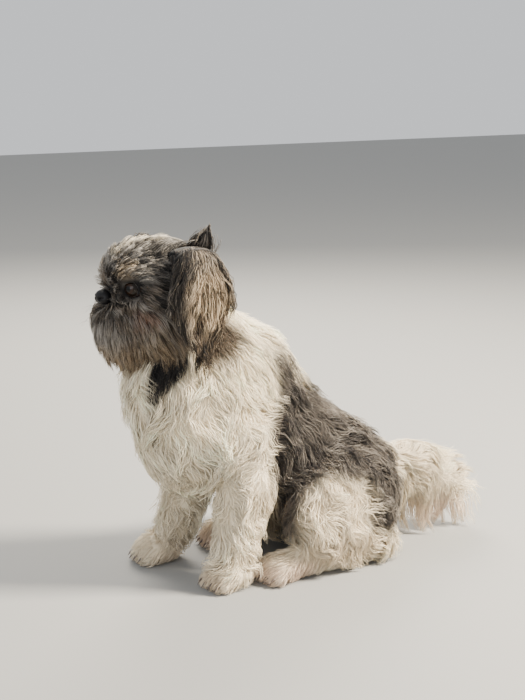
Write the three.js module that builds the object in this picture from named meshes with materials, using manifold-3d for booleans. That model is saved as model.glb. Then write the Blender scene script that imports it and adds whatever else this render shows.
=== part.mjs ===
// A shih tzu that sits on the floor, life-size, in millimetres.
// It faces -X, its left side is towards -Y and +Z is up.
// The origin is on the floor, under the middle of the rump.
import * as THREE from "three";
import { mergeVertices } from "three/addons/utils/BufferGeometryUtils.js";
import Module from "manifold-3d";

const wasm = await Module();
wasm.setup();

// Driving sizes
const FORELEG_X = -166; // the column of the left foreleg
const FORELEG_Y = 58; // half of the stance
const RIGHT_STEP = -16; // the right foreleg stands this much further forward
const SKULL = new THREE.Vector3(-229, 0, 338);
const EYE_R = 10;
const GAP = 0.3; // between neighbours that touch
const LEFT = -1;
const RIGHT = 1;

// Depth of the fused coat under the locks, and how far the lock tips stand above the skin
const CORE = { head: 6, neck: 8, trunk: 8, leg: 7, paw: 4, tail: 5 };
const TIP = { head: 12, neck: 17, trunk: 17, leg: 15, tail: 14 };

const V = (x, y, z) => new THREE.Vector3(x, y, z);

// Repeatable random numbers from 0 to 1
let seed = 20417;
function draw() {
  seed = (seed * 16807) % 2147483647;
  return seed / 2147483647;
}
const vary = (share) => 1 + share * (2 * draw() - 1);

// Forms: each is a function that gives the distance of a point from a surface

function ball(at, radii, pitch = 0) {
  const turn = new THREE.Quaternion().setFromAxisAngle(V(0, 1, 0), -pitch);
  const q = V(0, 0, 0);
  const s = V(0, 0, 0);
  return (p) => {
    q.copy(p).sub(at).applyQuaternion(turn).divide(radii);
    const k0 = q.length();
    const k1 = s.copy(q).divide(radii).length();
    return k1 < 1e-9 ? -Math.min(radii.x, radii.y, radii.z) : (k0 * (k0 - 1)) / k1;
  };
}

function bone(a, b, ra, rb) {
  const axis = b.clone().sub(a);
  const q = V(0, 0, 0);
  return (p) => {
    const t = THREE.MathUtils.clamp(q.copy(p).sub(a).dot(axis) / axis.lengthSq(), 0, 1);
    return q.addScaledVector(axis, -t).length() - THREE.MathUtils.lerp(ra, rb, t);
  };
}

// One smooth surface over several forms, with fillets about k wide
function blend(k, ...forms) {
  return (p) => {
    let d = forms[0](p);
    for (let i = 1; i < forms.length; i++) {
      const e = forms[i](p);
      const h = Math.max(k - Math.abs(d - e), 0) / k;
      d = Math.min(d, e) - (h * h * k) / 4;
    }
    return d;
  };
}

function slope(form, p) {
  const e = 0.05;
  const d = form(p);
  const q = p.clone();
  const g = V(0, 0, 0);
  for (const axis of ["x", "y", "z"]) {
    q[axis] += e;
    g[axis] = (form(q) - d) / e;
    q[axis] -= e;
  }
  return g;
}

// Moves a point straight out or in until it is at that height over the form
function settle(form, p, height = 0) {
  for (let i = 0; i < 14; i++) {
    const d = form(p) - height;
    if (Math.abs(d) < 0.01) break;
    const g = slope(form, p);
    p.addScaledVector(g, THREE.MathUtils.clamp(-d / Math.max(g.lengthSq(), 0.05), -12, 12));
  }
  return p;
}

// The flesh. Left-hand and right-hand forms come from one function with side -1 or 1.

const CHEST = ball(V(-175, 0, 175), V(72, 63, 74));
const FORECHEST = ball(V(-210, 0, 228), V(48, 50, 54));
const WITHERS = ball(V(-117, 0, 217), V(55, 48, 55));
const BARREL = ball(V(-88, 0, 153), V(80, 61, 64), 0.66);
const LOIN = ball(V(-28, 0, 113), V(72, 58, 60), 0.66);
const RUMP = ball(V(16, 0, 70), V(66, 62, 68));
const BELLY = ball(V(-68, 0, 78), V(58, 46, 46), 0.5);
const TRUNK = blend(26, CHEST, FORECHEST, WITHERS, BARREL, LOIN, RUMP, BELLY);
const NECK = bone(V(-140, 0, 228), V(-206, 0, 300), 51, 42);

const inHead = (x, y, z) => V(x, y, z).add(SKULL);
const NOSE_AT = inHead(-62, 0, -9);
const CRANIUM = ball(inHead(0, 0, 0), V(48, 50, 46));
const FOREHEAD = ball(inHead(-25, 0, 10), V(31, 34, 33));
const JAW = ball(inHead(-10, 0, -36), V(34, 30, 24));
const MUZZLE = ball(inHead(-38, 0, -29), V(25, 25, 20));
const CHIN = ball(inHead(-42, 0, -52), V(21, 17, 10));
const cheek = (side) => ball(inHead(-12, 33 * side, -26), V(30, 20, 27));
const flew = (side) => ball(inHead(-46, 14 * side, -35), V(20, 15, 15));
const brow = (side) => ball(inHead(-37, 22 * side, 13), V(12, 15, 8));
const HEAD = blend(
  9,
  CRANIUM, FOREHEAD, JAW, cheek(LEFT), cheek(RIGHT), MUZZLE,
  flew(LEFT), flew(RIGHT), CHIN, brow(LEFT), brow(RIGHT),
);
const eyeAt = (side) => inHead(-38, 27 * side, 2);

const step = (side) => (side === RIGHT ? RIGHT_STEP : 0);
const foreleg = (side) =>
  blend(
    12,
    bone(V(-156, 46 * side, 165), V(-150, 58 * side, 112), 34, 25),
    bone(V(-150, FORELEG_Y * side, 114), V(FORELEG_X + step(side), FORELEG_Y * side, 36), 24, 19),
  );
const forepawAt = (side) => V(FORELEG_X - 5 + 1.9 * step(side), (FORELEG_Y + 1) * side, 15);
const TOES = [-1.5, -0.5, 0.5, 1.5];
function paw(at, size, heading) {
  const forward = V(-Math.cos(heading), Math.sin(heading), 0);
  const across = V(forward.y, -forward.x, 0);
  const pad = ball(at, V(size * 0.96, size * 0.84, size * 0.62));
  const toes = TOES.map((n) => {
    const reach = size * (0.98 - 0.1 * Math.abs(n));
    const root = at.clone().addScaledVector(across, n * size * 0.36).addScaledVector(forward, reach * 0.4);
    const end = at.clone().addScaledVector(across, n * size * 0.4).addScaledVector(forward, reach * 0.84);
    root.z = at.z + size * 0.08;
    end.z = size * 0.28;
    return bone(root, end, size * 0.33, size * 0.27);
  });
  return blend(5, pad, ...toes);
}
const forepaw = (side) => paw(forepawAt(side), 27, 0.12 * side);
const hindpawAt = (side) => V(-110, 70 * side, 15);
const hindpaw = (side) =>
  blend(12, paw(hindpawAt(side), 25, 0.16 * side), bone(V(-90, 71 * side, 19), V(8, 66 * side, 20), 16, 15));
const thigh = (side) =>
  blend(
    22,
    ball(V(-18, 60 * side, 82), V(58, 34, 52), 0.35),
    ball(V(-66, 74 * side, 72), V(32, 24, 38), -0.3),
    bone(V(-60, 76 * side, 52), V(26, 66 * side, 26), 22, 18),
  );
const TAIL_LINE = new THREE.CatmullRomCurve3([
  V(62, 0, 86),
  V(102, -2, 92),
  V(144, -7, 76),
  V(176, -12, 49),
]);
const tailBone = (from, to, ra, rb) => bone(TAIL_LINE.getPoint(from), TAIL_LINE.getPoint(to), ra, rb);
const TAIL = blend(6, tailBone(0, 0.35, 17, 14), tailBone(0.35, 0.7, 14, 11), tailBone(0.7, 1, 11, 7));

// The coat is thin round the eyes and the nose
const headDepth = (depth) => (p) => {
  const toEye = Math.min(p.distanceTo(eyeAt(LEFT)), p.distanceTo(eyeAt(RIGHT))) - 3;
  return depth * THREE.MathUtils.smoothstep(Math.min(toEye, p.distanceTo(NOSE_AT)), 12, 28);
};

// Solids

function solidOf(geometry) {
  const bare = new THREE.BufferGeometry();
  bare.setAttribute("position", geometry.getAttribute("position").clone());
  if (geometry.index) bare.setIndex(geometry.index.clone());
  const merged = mergeVertices(bare, 1e-3);
  return new wasm.Manifold(
    new wasm.Mesh({
      numProp: 3,
      vertProperties: new Float32Array(merged.attributes.position.array),
      triVerts: new Uint32Array(merged.index.array),
    }),
  );
}

function eachPoint(geometry, change) {
  const at = geometry.attributes.position;
  const p = V(0, 0, 0);
  for (let i = 0; i < at.count; i++) {
    change(p.fromBufferAttribute(at, i));
    at.setXYZ(i, p.x, p.y, p.z);
  }
  return geometry;
}

// A sphere's net drawn onto a form from outside, at that height over it
function wrap(form, centre, radii, across, up, height) {
  const net = new THREE.SphereGeometry(1, across, up).rotateX(Math.PI / 2);
  return eachPoint(net, (p) => {
    settle(form, p.multiply(radii).add(centre));
    settle(form, p, typeof height === "function" ? height(p) : height);
  });
}

// A tube's net along a line, closed at both ends, drawn onto a form
function sleeve(form, line, radius, across, along, height, extra) {
  const net = new THREE.CylinderGeometry(1, 1, 1, across, along);
  const side = V(0, 0, 0);
  const up = V(0, 0, 0);
  return eachPoint(net, (p) => {
    const t = p.y + 0.5;
    const tangent = line.getTangent(t);
    side.set(0, 1, 0).cross(tangent).normalize();
    up.crossVectors(side, tangent);
    const middle = line.getPoint(t);
    const rim = Math.hypot(p.x, p.z);
    const onEnd = t < 0.01 || t > 0.99;
    middle.addScaledVector(tangent, onEnd ? extra * Math.sign(t - 0.5) : 0);
    middle.addScaledVector(side, p.x * (radius + extra)).addScaledVector(up, p.z * (radius + extra));
    p.copy(middle);
    if (rim > 0.5 && !onEnd) settle(form, p, height + extra);
  });
}

const union = (solids) => wasm.Manifold.union(solids);

// A node keeps its largest closed surface
function largest(solid) {
  return solid.decompose().reduce((best, one) => (one.volume() > best.volume() ? one : best));
}

const aboveFloor = (solid) => solid.trimByPlane([0, 0, 1], 0);

// Locks: flat, tapered blades. A lock leaves the skin at its root, follows the lie of the coat
// and ends in a point.

const LOCK_STEPS = 3;
const LOCK_SIDES = 3;

// Heights over the skin along a lock, from its sunken root up to its tip
const rise = (core, tip) => [-3, core + 1, (core + tip) / 2 + 1, tip];

// Places and outward directions along a lock
function lockLine(form, root, lie, size, heights) {
  const p = settle(form, root.clone(), heights[0]);
  const line = [{ at: p.clone(), out: slope(form, p).normalize() }];
  const pull = V(0, 0, -1);
  for (let i = 1; i <= LOCK_STEPS; i++) {
    const out = slope(form, p).normalize();
    const way = lie(p).addScaledVector(pull, (size.sag * i) / LOCK_STEPS);
    way.addScaledVector(out, -way.dot(out) * size.hug).normalize();
    p.addScaledVector(way, size.length / LOCK_STEPS);
    const height = heights[i];
    if (size.hug > 0.5) settle(form, p, height);
    else if (form(p) < height) settle(form, p, height);
    line.push({ at: p.clone(), out: slope(form, p).normalize() });
  }
  return line;
}

const BLADE = [0.75, 1, 0.78, 0];
const EDGE_GROWTH = 4; // a sharp edge moves further than its faces
const FACE_GROWTH = 1.4;

function lockSolid({ line, width, thick }, extra) {
  const curve = new THREE.CatmullRomCurve3(line.map((k) => k.at));
  const net = new THREE.ConeGeometry(1, 1, LOCK_SIDES, LOCK_STEPS);
  const geometry = eachPoint(net, (p) => {
    const k = Math.round((p.y + 0.5) * LOCK_STEPS);
    const t = k / LOCK_STEPS;
    const tangent = curve.getTangent(t);
    const side = V(0, 0, 0).crossVectors(tangent, line[k].out).normalize();
    const out = V(0, 0, 0).crossVectors(side, tangent).normalize();
    const rim = Math.max(1 - t, 0.01);
    const x = (p.x / rim) * ((BLADE[k] * width) / 2 + EDGE_GROWTH * extra);
    const z = (p.z / rim) * ((BLADE[k] * thick) / 2 + FACE_GROWTH * extra);
    const reach = k === LOCK_STEPS ? 6 * extra : k === 0 ? -extra : 0;
    const straight = line[Math.max(k, 1)].at.clone().sub(line[Math.max(k, 1) - 1].at).normalize();
    p.copy(line[k].at).addScaledVector(straight, reach).addScaledVector(side, x).addScaledVector(out, z);
  });
  return solidOf(geometry);
}

// Even points on a sphere, as directions
function evenDirections(count) {
  const golden = Math.PI * (3 - Math.sqrt(5));
  return Array.from({ length: count }, (_, i) => {
    const z = 1 - (2 * (i + 0.5)) / count;
    const r = Math.sqrt(1 - z * z);
    return V(r * Math.cos(golden * i), r * Math.sin(golden * i), z);
  });
}

// The locks of one node: roots spread evenly round a centre, kept where the coat grows
function coat(form, { centre, radii, count, grows, lie, size, heights }) {
  const locks = [];
  for (const way of evenDirections(count)) {
    const root = settle(form, way.multiply(radii).add(centre), 0);
    if (!grows(root, slope(form, root).normalize())) continue;
    const grown = size(root);
    const line = lockLine(form, root, lie, { ...grown, length: grown.length * vary(0.14) }, heights);
    locks.push({ line, width: grown.width * vary(0.15), thick: grown.thick });
  }
  return locks;
}

// A node is made twice: as it is, and grown by the gap, to cut its neighbours clear
function grow(make, locks = []) {
  const build = (extra) => union([make(extra), ...locks.map((lock) => lockSolid(lock, extra))]);
  return { solid: build(0), grown: build(GAP) };
}

function carve(node, ...neighbours) {
  const cutters = neighbours.map((n) => n.grown);
  const cut = (solid) => aboveFloor(cutters.length ? solid.subtract(union(cutters)) : solid);
  return { solid: largest(cut(node.solid)), grown: node.grown };
}

// Lie of the coat

const outward = (from, p) => p.clone().sub(from).normalize();
const trunkLie = (p) => {
  const front = THREE.MathUtils.smoothstep(-p.x, 120, 200);
  return V(THREE.MathUtils.lerp(0.75, 0.12, front), 0.12 * Math.sign(p.y), -0.8).normalize();
};
const headLie = (p) => {
  const low = THREE.MathUtils.smoothstep(SKULL.z - p.z, 15, 50);
  return outward(NOSE_AT, p).add(V(0.15, 0, -1.1 * low)).normalize();
};
const legLie = () => V(0.12, 0, -1);
const thighLie = (p) => V(0.35, 0.1 * Math.sign(p.y), -0.9);
const tailLie = (p) => {
  const t = THREE.MathUtils.clamp((p.x - 62) / 118, 0, 1);
  const spread = outward(TAIL_LINE.getPoint(t), p).multiplyScalar(0.55);
  return TAIL_LINE.getTangent(t).add(spread).normalize();
};

// Head with eyes, nose and ears

function eye(side) {
  return grow((extra) =>
    solidOf(new THREE.SphereGeometry(EYE_R + extra, 12, 8).translate(...eyeAt(side).toArray())),
  );
}

const NOSE_SIZE = V(8.5, 11.5, 8.5);
function nose() {
  const tip = ball(NOSE_AT, NOSE_SIZE);
  const pad = blend(
    4,
    tip,
    ball(NOSE_AT.clone().add(V(-1, 6, -1.5)), V(6.5, 5.5, 5.5)),
    ball(NOSE_AT.clone().add(V(-1, -6, -1.5)), V(6.5, 5.5, 5.5)),
  );
  const nostril = (side) => {
    const hole = new THREE.SphereGeometry(1, 8, 5).scale(4, 2.1, 2.5);
    hole.rotateZ(0.5 * side).translate(NOSE_AT.x - 7.5, 5.2 * side, NOSE_AT.z - 1.5);
    return solidOf(hole);
  };
  const made = grow((extra) => solidOf(wrap(pad, NOSE_AT, V(10, 12, 9), 12, 7, extra)));
  made.solid = made.solid.subtract(nostril(LEFT)).subtract(nostril(RIGHT));
  return made;
}

// A lid ring that follows the eyeball round its opening
function lids(side) {
  const ring = new THREE.TorusGeometry(EYE_R * 0.86, 2.3, 5, 12).scale(1.06, 0.92, 1);
  ring.rotateY(-Math.PI / 2).rotateZ(-0.38 * side);
  const look = V(-Math.cos(0.38), Math.sin(0.38) * side, 0);
  return solidOf(ring.translate(...eyeAt(side).addScaledVector(look, EYE_R * 0.55).toArray()));
}

// A thin curved slot between the lips
function mouthSlot() {
  const line = new THREE.CatmullRomCurve3([
    inHead(-22, -27, -50),
    inHead(-52, -17, -47),
    inHead(-66, 0, -44),
    inHead(-52, 17, -47),
    inHead(-22, 27, -50),
  ]);
  const section = new THREE.Shape();
  section.moveTo(-0.8, -9).lineTo(0.8, -9).lineTo(0.8, 9).lineTo(-0.8, 9).closePath();
  return solidOf(new THREE.ExtrudeGeometry(section, { steps: 16, bevelEnabled: false, extrudePath: line }));
}

const EAR_LINE = (side) =>
  new THREE.CatmullRomCurve3([
    inHead(22, 32 * side, 37),
    inHead(20, 57 * side, 34),
    inHead(18, 71 * side, 9),
    inHead(17, 77 * side, -24),
  ]);
const EAR_WIDTH = [48, 56, 60, 50, 22];
const EAR_CUP = 7;
const EAR_ROOT_THICK = 20; // with the hair that stands over the root
const EAR_THICK = 5;
const earWidth = new THREE.SplineCurve(EAR_WIDTH.map((width, i) => new THREE.Vector2(i / 4, width)));

// A leaf that hangs from the side of the skull, hollow towards the head
function earLeaf(side, extra) {
  const line = EAR_LINE(side);
  const across = V(side, 0, -0.12 * side).normalize();
  const net = new THREE.BoxGeometry(1, 1, 1, 6, 1, 6);
  return eachPoint(net, (p) => {
    const t = p.z + 0.5;
    const u = p.x * 2;
    const tangent = line.getTangent(t);
    const out = V(0, 0, 0).crossVectors(tangent, across).normalize();
    const width = earWidth.getPoint(t).y + 2 * extra;
    const cup = -EAR_CUP * u * u * Math.sin(Math.PI * Math.min(1, t + 0.15));
    const hair = THREE.MathUtils.lerp(EAR_ROOT_THICK, EAR_THICK, THREE.MathUtils.smoothstep(t, 0, 0.5));
    const lift = cup + (hair * (1 - 0.35 * u * u) + 2 * extra) * p.y;
    p.copy(line.getPoint(t)).addScaledVector(across, (u * width) / 2).addScaledVector(out, lift);
    p.addScaledVector(tangent, (t - 0.5) * 2 * extra);
  });
}

// A free lock: each step leans a little more towards its bend
function freeLock(start, way, bend, out, length, width) {
  const line = [];
  const p = start.clone();
  for (let k = 0; k <= LOCK_STEPS; k++) {
    line.push({ at: p.clone(), out });
    p.addScaledVector(way.clone().addScaledVector(bend, k).normalize(), length / LOCK_STEPS);
  }
  return { line, width, thick: 7 };
}

// Rows of hanging locks down the outside of an ear, fanned above and drawn together below
const EAR_ROWS = [
  { t: 0.1, count: 4, length: 64, fan: 0.85 },
  { t: 0.42, count: 4, length: 72, fan: 0.65 },
  { t: 0.78, count: 4, length: 76, fan: 0.5 },
];
// The pointed tuft that stands up behind the root of the left ear
const TUFT_TIP = inHead(45, -37, 58);
const TUFT_ROOTS = [-9, 0, 9];

function earLocks(side) {
  const line = EAR_LINE(side);
  const locks = [];
  for (const row of EAR_ROWS) {
    for (let i = 0; i < row.count; i++) {
      const u = (2 * i) / (row.count - 1) - 1;
      const start = line.getPoint(row.t).add(V(u * earWidth.getPoint(row.t).y * 0.42, 0, 0));
      start.y += side * (1 - EAR_CUP * u * u * 0.8);
      const way = V(u * row.fan, side * 0.34, -1);
      const bend = V(-u * 0.42, -side * 0.18, 0);
      const out = V(u * 0.5, side, 0.2).normalize();
      locks.push(freeLock(start, way, bend, out, row.length * vary(0.1), 27 * vary(0.15)));
    }
  }
  return locks;
}

function tuftLocks() {
  return TUFT_ROOTS.map((aside) => {
    const start = inHead(36 + aside, TUFT_TIP.y, 32);
    const way = TUFT_TIP.clone().sub(start);
    const length = way.length() * (1 - Math.abs(aside) / 60);
    return freeLock(start, way.normalize(), V(0.04, 0, 0), V(0, LEFT, 0), length, 17);
  });
}

const eyes = [eye(LEFT), eye(RIGHT)];
const noseNode = nose();
const ears = [LEFT, RIGHT].map((side) => {
  const locks = [...earLocks(side), ...(side === LEFT ? tuftLocks() : [])];
  return grow((extra) => solidOf(earLeaf(side, extra)), locks);
});

const underEar = (p) => Math.abs(p.y) > 34 && p.x > SKULL.x - 2 && p.z < SKULL.z + 30;
const headCoat = coat(HEAD, {
  centre: SKULL.clone().add(V(-8, 0, -12)),
  radii: V(60, 58, 62),
  count: 46,
  grows: (p) => {
    const behind = p.x > SKULL.x + 34 && p.z < SKULL.z + 20;
    const nearEye = [LEFT, RIGHT].some((side) => p.distanceTo(eyeAt(side)) < 17);
    return !behind && !nearEye && !underEar(p) && p.distanceTo(NOSE_AT) > 13 && p.z > SKULL.z - 62;
  },
  lie: headLie,
  size: (p) => {
    const low = THREE.MathUtils.smoothstep(SKULL.z - p.z, 15, 45);
    const front = THREE.MathUtils.smoothstep(SKULL.x - p.x, 10, 45);
    const length = THREE.MathUtils.lerp(42 - 16 * front, 46 - 4 * front, low);
    const width = THREE.MathUtils.lerp(29, 19, front);
    return { length, width, thick: 7, sag: 0.5 * low, hug: low > 0.4 ? 0.3 : 1 };
  },
  heights: rise(CORE.head, TIP.head),
});
const headCore = (extra) => {
  const height = (p) => headDepth(CORE.head)(p) + extra;
  return solidOf(wrap(HEAD, inHead(-10, 0, -14), V(62, 58, 66), 21, 15, height));
};
const headNode = grow(headCore, headCoat);
headNode.solid = union([headNode.solid.subtract(mouthSlot()), lids(LEFT), lids(RIGHT)]);

const neckCoat = coat(NECK, {
  centre: V(-176, 0, 262),
  radii: V(60, 58, 60),
  count: 20,
  grows: (p) => p.z > 225 && p.z < 304 && p.x < -94 && HEAD(p) > 9,
  lie: trunkLie,
  size: () => ({ length: 70, width: 34, thick: 9, sag: 0.2, hug: 1 }),
  heights: rise(CORE.neck, TIP.neck),
});
const NECK_LINE = new THREE.LineCurve3(V(-132, 0, 210), V(-214, 0, 310));
const neckNode = grow((extra) => solidOf(sleeve(NECK, NECK_LINE, 60, 16, 4, CORE.neck, extra)), neckCoat);

const trunkNet = (extra) =>
  solidOf(wrap(TRUNK, V(-80, 0, 132), V(150, 66, 118), 22, 16, CORE.trunk + extra));
const SADDLE_CUT = { normal: V(0.8, 0, -0.6), offset: V(0.8, 0, -0.6).dot(V(-30, 0, 110)) };
function trunkPart(front, extra) {
  const way = SADDLE_CUT.normal.clone().multiplyScalar(front ? -1 : 1);
  const offset = (front ? -1 : 1) * SADDLE_CUT.offset + GAP / 2 - extra;
  return trunkNet(extra).trimByPlane(way.toArray(), offset);
}
const trunkSize = (p) => {
  const chest = THREE.MathUtils.smoothstep(-p.x, 130, 200);
  return { length: THREE.MathUtils.lerp(68, 78, chest), width: 38, thick: 9, sag: 0.25, hug: 1 };
};
const onFront = (p) => SADDLE_CUT.normal.dot(p) < SADDLE_CUT.offset;
const underLeg = (p) => p.z < 100 && Math.abs(p.y) < 52;
const torsoCoat = coat(TRUNK, {
  centre: V(-120, 0, 165),
  radii: V(120, 68, 100),
  count: 50,
  grows: (p) => {
    const clear = NECK(p) > 7 && foreleg(LEFT)(p) > 3 && foreleg(RIGHT)(p) > 3;
    return clear && onFront(p) && !underLeg(p) && p.z > 104 && thigh(LEFT)(p) > 6 && thigh(RIGHT)(p) > 6;
  },
  lie: trunkLie,
  size: trunkSize,
  heights: rise(CORE.trunk, TIP.trunk),
});
const rumpCoat = coat(TRUNK, {
  centre: V(0, 0, 80),
  radii: V(90, 68, 90),
  count: 42,
  grows: (p) => !onFront(p) && p.z > 62 && thigh(LEFT)(p) > -4 && thigh(RIGHT)(p) > -4,
  lie: trunkLie,
  size: trunkSize,
  heights: rise(CORE.trunk, TIP.trunk),
});
const torsoNode = grow((extra) => trunkPart(true, extra), torsoCoat);
const rumpNode = grow((extra) => trunkPart(false, extra), rumpCoat);

function legCoat(side) {
  return coat(foreleg(side), {
    centre: V(FORELEG_X + 8 + step(side) / 2, FORELEG_Y * side, 80),
    radii: V(34, 32, 60),
    count: 14,
    grows: (p) => p.z > 40 && p.z < 118 && TRUNK(p) > 6,
    lie: legLie,
    size: (p) => ({ length: p.z > 60 ? 52 : 32, width: 26, thick: 8, sag: 0, hug: 1 }),
    heights: rise(CORE.leg, TIP.leg),
  });
}
function forelegCore(side, extra) {
  const line = new THREE.CatmullRomCurve3([
    V(-156, 50 * side, 158),
    V(-151, 58 * side, 112),
    V(-160 + step(side) / 2, FORELEG_Y * side, 66),
    V(FORELEG_X + step(side), FORELEG_Y * side, 22),
  ]);
  return solidOf(sleeve(foreleg(side), line, 26, 12, 7, CORE.leg, extra));
}
const forelegs = [LEFT, RIGHT].map((side) => grow((extra) => forelegCore(side, extra), legCoat(side)));
const forepaws = [LEFT, RIGHT].map((side) =>
  grow((extra) => solidOf(wrap(forepaw(side), forepawAt(side), V(34, 30, 24), 16, 10, CORE.paw + extra))),
);
const thighs = [LEFT, RIGHT].map((side) =>
  grow(
    (extra) => solidOf(wrap(thigh(side), V(-28, 66 * side, 72), V(66, 40, 60), 16, 11, CORE.trunk + extra)),
    coat(thigh(side), {
      centre: V(-28, 66 * side, 72),
      radii: V(66, 40, 60),
      count: 24,
      grows: (p, out) => p.z > 34 && p.z < 128 && out.y * side > 0.1 && TRUNK(p) > 9,
      lie: thighLie,
      size: () => ({ length: 60, width: 34, thick: 9, sag: 0.1, hug: 1 }),
      heights: rise(CORE.trunk, TIP.trunk),
    }),
  ),
);
const hindpaws = [LEFT, RIGHT].map((side) =>
  grow((extra) => {
    const centre = V(-64, 69 * side, 18);
    return solidOf(wrap(hindpaw(side), centre, V(82, 28, 26), 15, 10, CORE.paw + extra));
  }),
);
const tailNode = grow(
  (extra) => solidOf(sleeve(TAIL, TAIL_LINE, 18, 10, 7, CORE.tail, extra)),
  coat(TAIL, {
    centre: V(130, -6, 66),
    radii: V(62, 22, 34),
    count: 20,
    grows: (p) => p.x > 80,
    lie: tailLie,
    size: () => ({ length: 66, width: 22, thick: 6, sag: 1.1, hug: 0 }),
    heights: rise(CORE.tail, TIP.tail),
  }),
);

// The nodes, each cut clear of those that lie over it

const MATERIALS = {
  white: new THREE.MeshStandardMaterial({ color: 0xe9e0cf, roughness: 0.9 }),
  grey: new THREE.MeshStandardMaterial({ color: 0x5f5852, roughness: 0.9 }),
  mask: new THREE.MeshStandardMaterial({ color: 0x4b443f, roughness: 0.9 }),
  nose: new THREE.MeshStandardMaterial({ color: 0x121113, roughness: 0.35 }),
  eye: new THREE.MeshStandardMaterial({ color: 0x120c0a, roughness: 0.06 }),
};

const dog = new THREE.Group();
dog.name = "shih_tzu";

function place(group, name, solid, anchor, material) {
  const mesh = solid.getMesh();
  const points = Float32Array.from({ length: mesh.numVert * 3 }, (_, i) => {
    return mesh.vertProperties[Math.floor(i / 3) * mesh.numProp + (i % 3)];
  });
  const geometry = new THREE.BufferGeometry();
  geometry.setAttribute("position", new THREE.BufferAttribute(points, 3));
  geometry.setIndex(new THREE.BufferAttribute(mesh.triVerts, 1));
  geometry.translate(-anchor.x, -anchor.y, -anchor.z);
  geometry.computeVertexNormals();
  const piece = new THREE.Mesh(geometry, MATERIALS[material]);
  piece.name = name;
  piece.position.copy(anchor);
  group.add(piece);
}

const hard = [...eyes, noseNode];
const head = carve(headNode, ...hard, ...ears);
const neck = carve(neckNode, headNode, ...ears);
const torso = carve(torsoNode, neckNode, headNode, ...ears);
const rump = carve(rumpNode, torsoNode);
const SIDES = [
  { name: "left", side: LEFT, i: 0 },
  { name: "right", side: RIGHT, i: 1 },
];

place(dog, "head", head.solid, SKULL, "mask");
place(dog, "nose", carve(noseNode).solid, NOSE_AT, "nose");
place(dog, "neck", neck.solid, V(-142, 0, 222), "white");
place(dog, "torso", torso.solid, V(-88, 0, 150), "white");
place(dog, "rump", rump.solid, V(0, 0, 0), "grey");
place(dog, "tail", carve(tailNode, rumpNode).solid, TAIL_LINE.getPoint(0), "white");
for (const { name, side, i } of SIDES) {
  const legCutters = [torsoNode, neckNode];
  place(dog, `eye_${name}`, carve(eyes[i]).solid, eyeAt(side), "eye");
  place(dog, `ear_${name}`, carve(ears[i]).solid, EAR_LINE(side).getPoint(0), "mask");
  place(dog, `foreleg_${name}`, carve(forelegs[i], ...legCutters).solid, V(-150, 46 * side, 165), "white");
  place(dog, `forepaw_${name}`, carve(forepaws[i], forelegs[i]).solid, forepawAt(side), "white");
  place(dog, `thigh_${name}`, carve(thighs[i], torsoNode, rumpNode).solid, V(-18, 60 * side, 82), "grey");
  const pawCutters = [thighs[i], forelegs[i], forepaws[i], rumpNode, torsoNode];
  place(dog, `hindpaw_${name}`, carve(hindpaws[i], ...pawCutters).solid, hindpawAt(side), "white");
}

export default dog;
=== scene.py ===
"""Looks of a life-size shih tzu that sits: one skin, eyes, nose, claws, whiskers and a long coat.

It faces -X, its left side is towards -Y and +Z is up. The origin is on the floor under the rump.
Forms are worked out in millimetres and meshes are made in metres.
"""

import math
from types import SimpleNamespace

import bpy
import numpy as np
from bpy.props import EnumProperty, FloatProperty, FloatVectorProperty, IntProperty, PointerProperty
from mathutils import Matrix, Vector
from mathutils.kdtree import KDTree


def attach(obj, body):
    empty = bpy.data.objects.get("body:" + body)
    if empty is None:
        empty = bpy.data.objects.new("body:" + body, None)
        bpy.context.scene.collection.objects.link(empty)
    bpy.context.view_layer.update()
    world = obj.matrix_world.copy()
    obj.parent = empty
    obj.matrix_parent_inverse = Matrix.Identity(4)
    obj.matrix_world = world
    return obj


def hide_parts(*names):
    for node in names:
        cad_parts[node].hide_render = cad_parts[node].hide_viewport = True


bl_info = {
    "name": "Sitting shih tzu",
    "version": (1, 0, 0),
    "blender": (4, 5, 0),
    "location": "3D View > Sidebar > Dog",
    "description": "Builds the skin, eyes, nose, claws, whiskers, coat and studio of a sitting shih tzu",
    "category": "Add Mesh",
}

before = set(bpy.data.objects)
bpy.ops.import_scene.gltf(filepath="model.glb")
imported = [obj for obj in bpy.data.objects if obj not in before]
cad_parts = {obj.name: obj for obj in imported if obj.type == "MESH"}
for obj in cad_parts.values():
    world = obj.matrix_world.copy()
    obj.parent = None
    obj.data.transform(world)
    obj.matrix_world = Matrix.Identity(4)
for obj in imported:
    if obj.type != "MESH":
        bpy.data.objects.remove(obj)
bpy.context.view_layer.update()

MM = 0.001
LEFT = -1
RIGHT = 1
SIDES = (LEFT, RIGHT)

# Layers of the meshes: the unwrap, and the colour of each point
UV_MAP = "OFBake"
COLOUR_LAYER = "coat_colour"

# Driving sizes in millimetres
FORELEG_X = -166
FORELEG_Y = 58
RIGHT_STEP = -16
SKULL = np.array((-229, 0, 338), float)
EYE_R = 10
EYE_GAP = 0.4
LIP_SLOT = 1.5

# Lowest levels over the floor: of the skin's form, of its mesh and a strand's middle, of a strand's edge
FORM_LEVEL = 1.2
SKIN_LEVEL = 1.0
HAIR_LEVEL = 0.3

# How far the coat's tips stand over the skin
TIP = {"head": 12, "neck": 17, "trunk": 17, "leg": 15, "paw": 7, "tail": 14}


def vec(*values):
    return np.array(values, float)


def smooth(value, low, high):
    """0 up to low and 1 from high on, with an even turn between them."""
    t = np.clip((value - low) / (high - low), 0, 1)
    return t * t * (3 - 2 * t)


def mix(a, b, t):
    return a + (b - a) * t


def unit(v):
    return v / np.maximum(np.linalg.norm(v, axis=-1, keepdims=True), 1e-9)


# Forms: each is a function that gives the distances of an array of points from a surface


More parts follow.
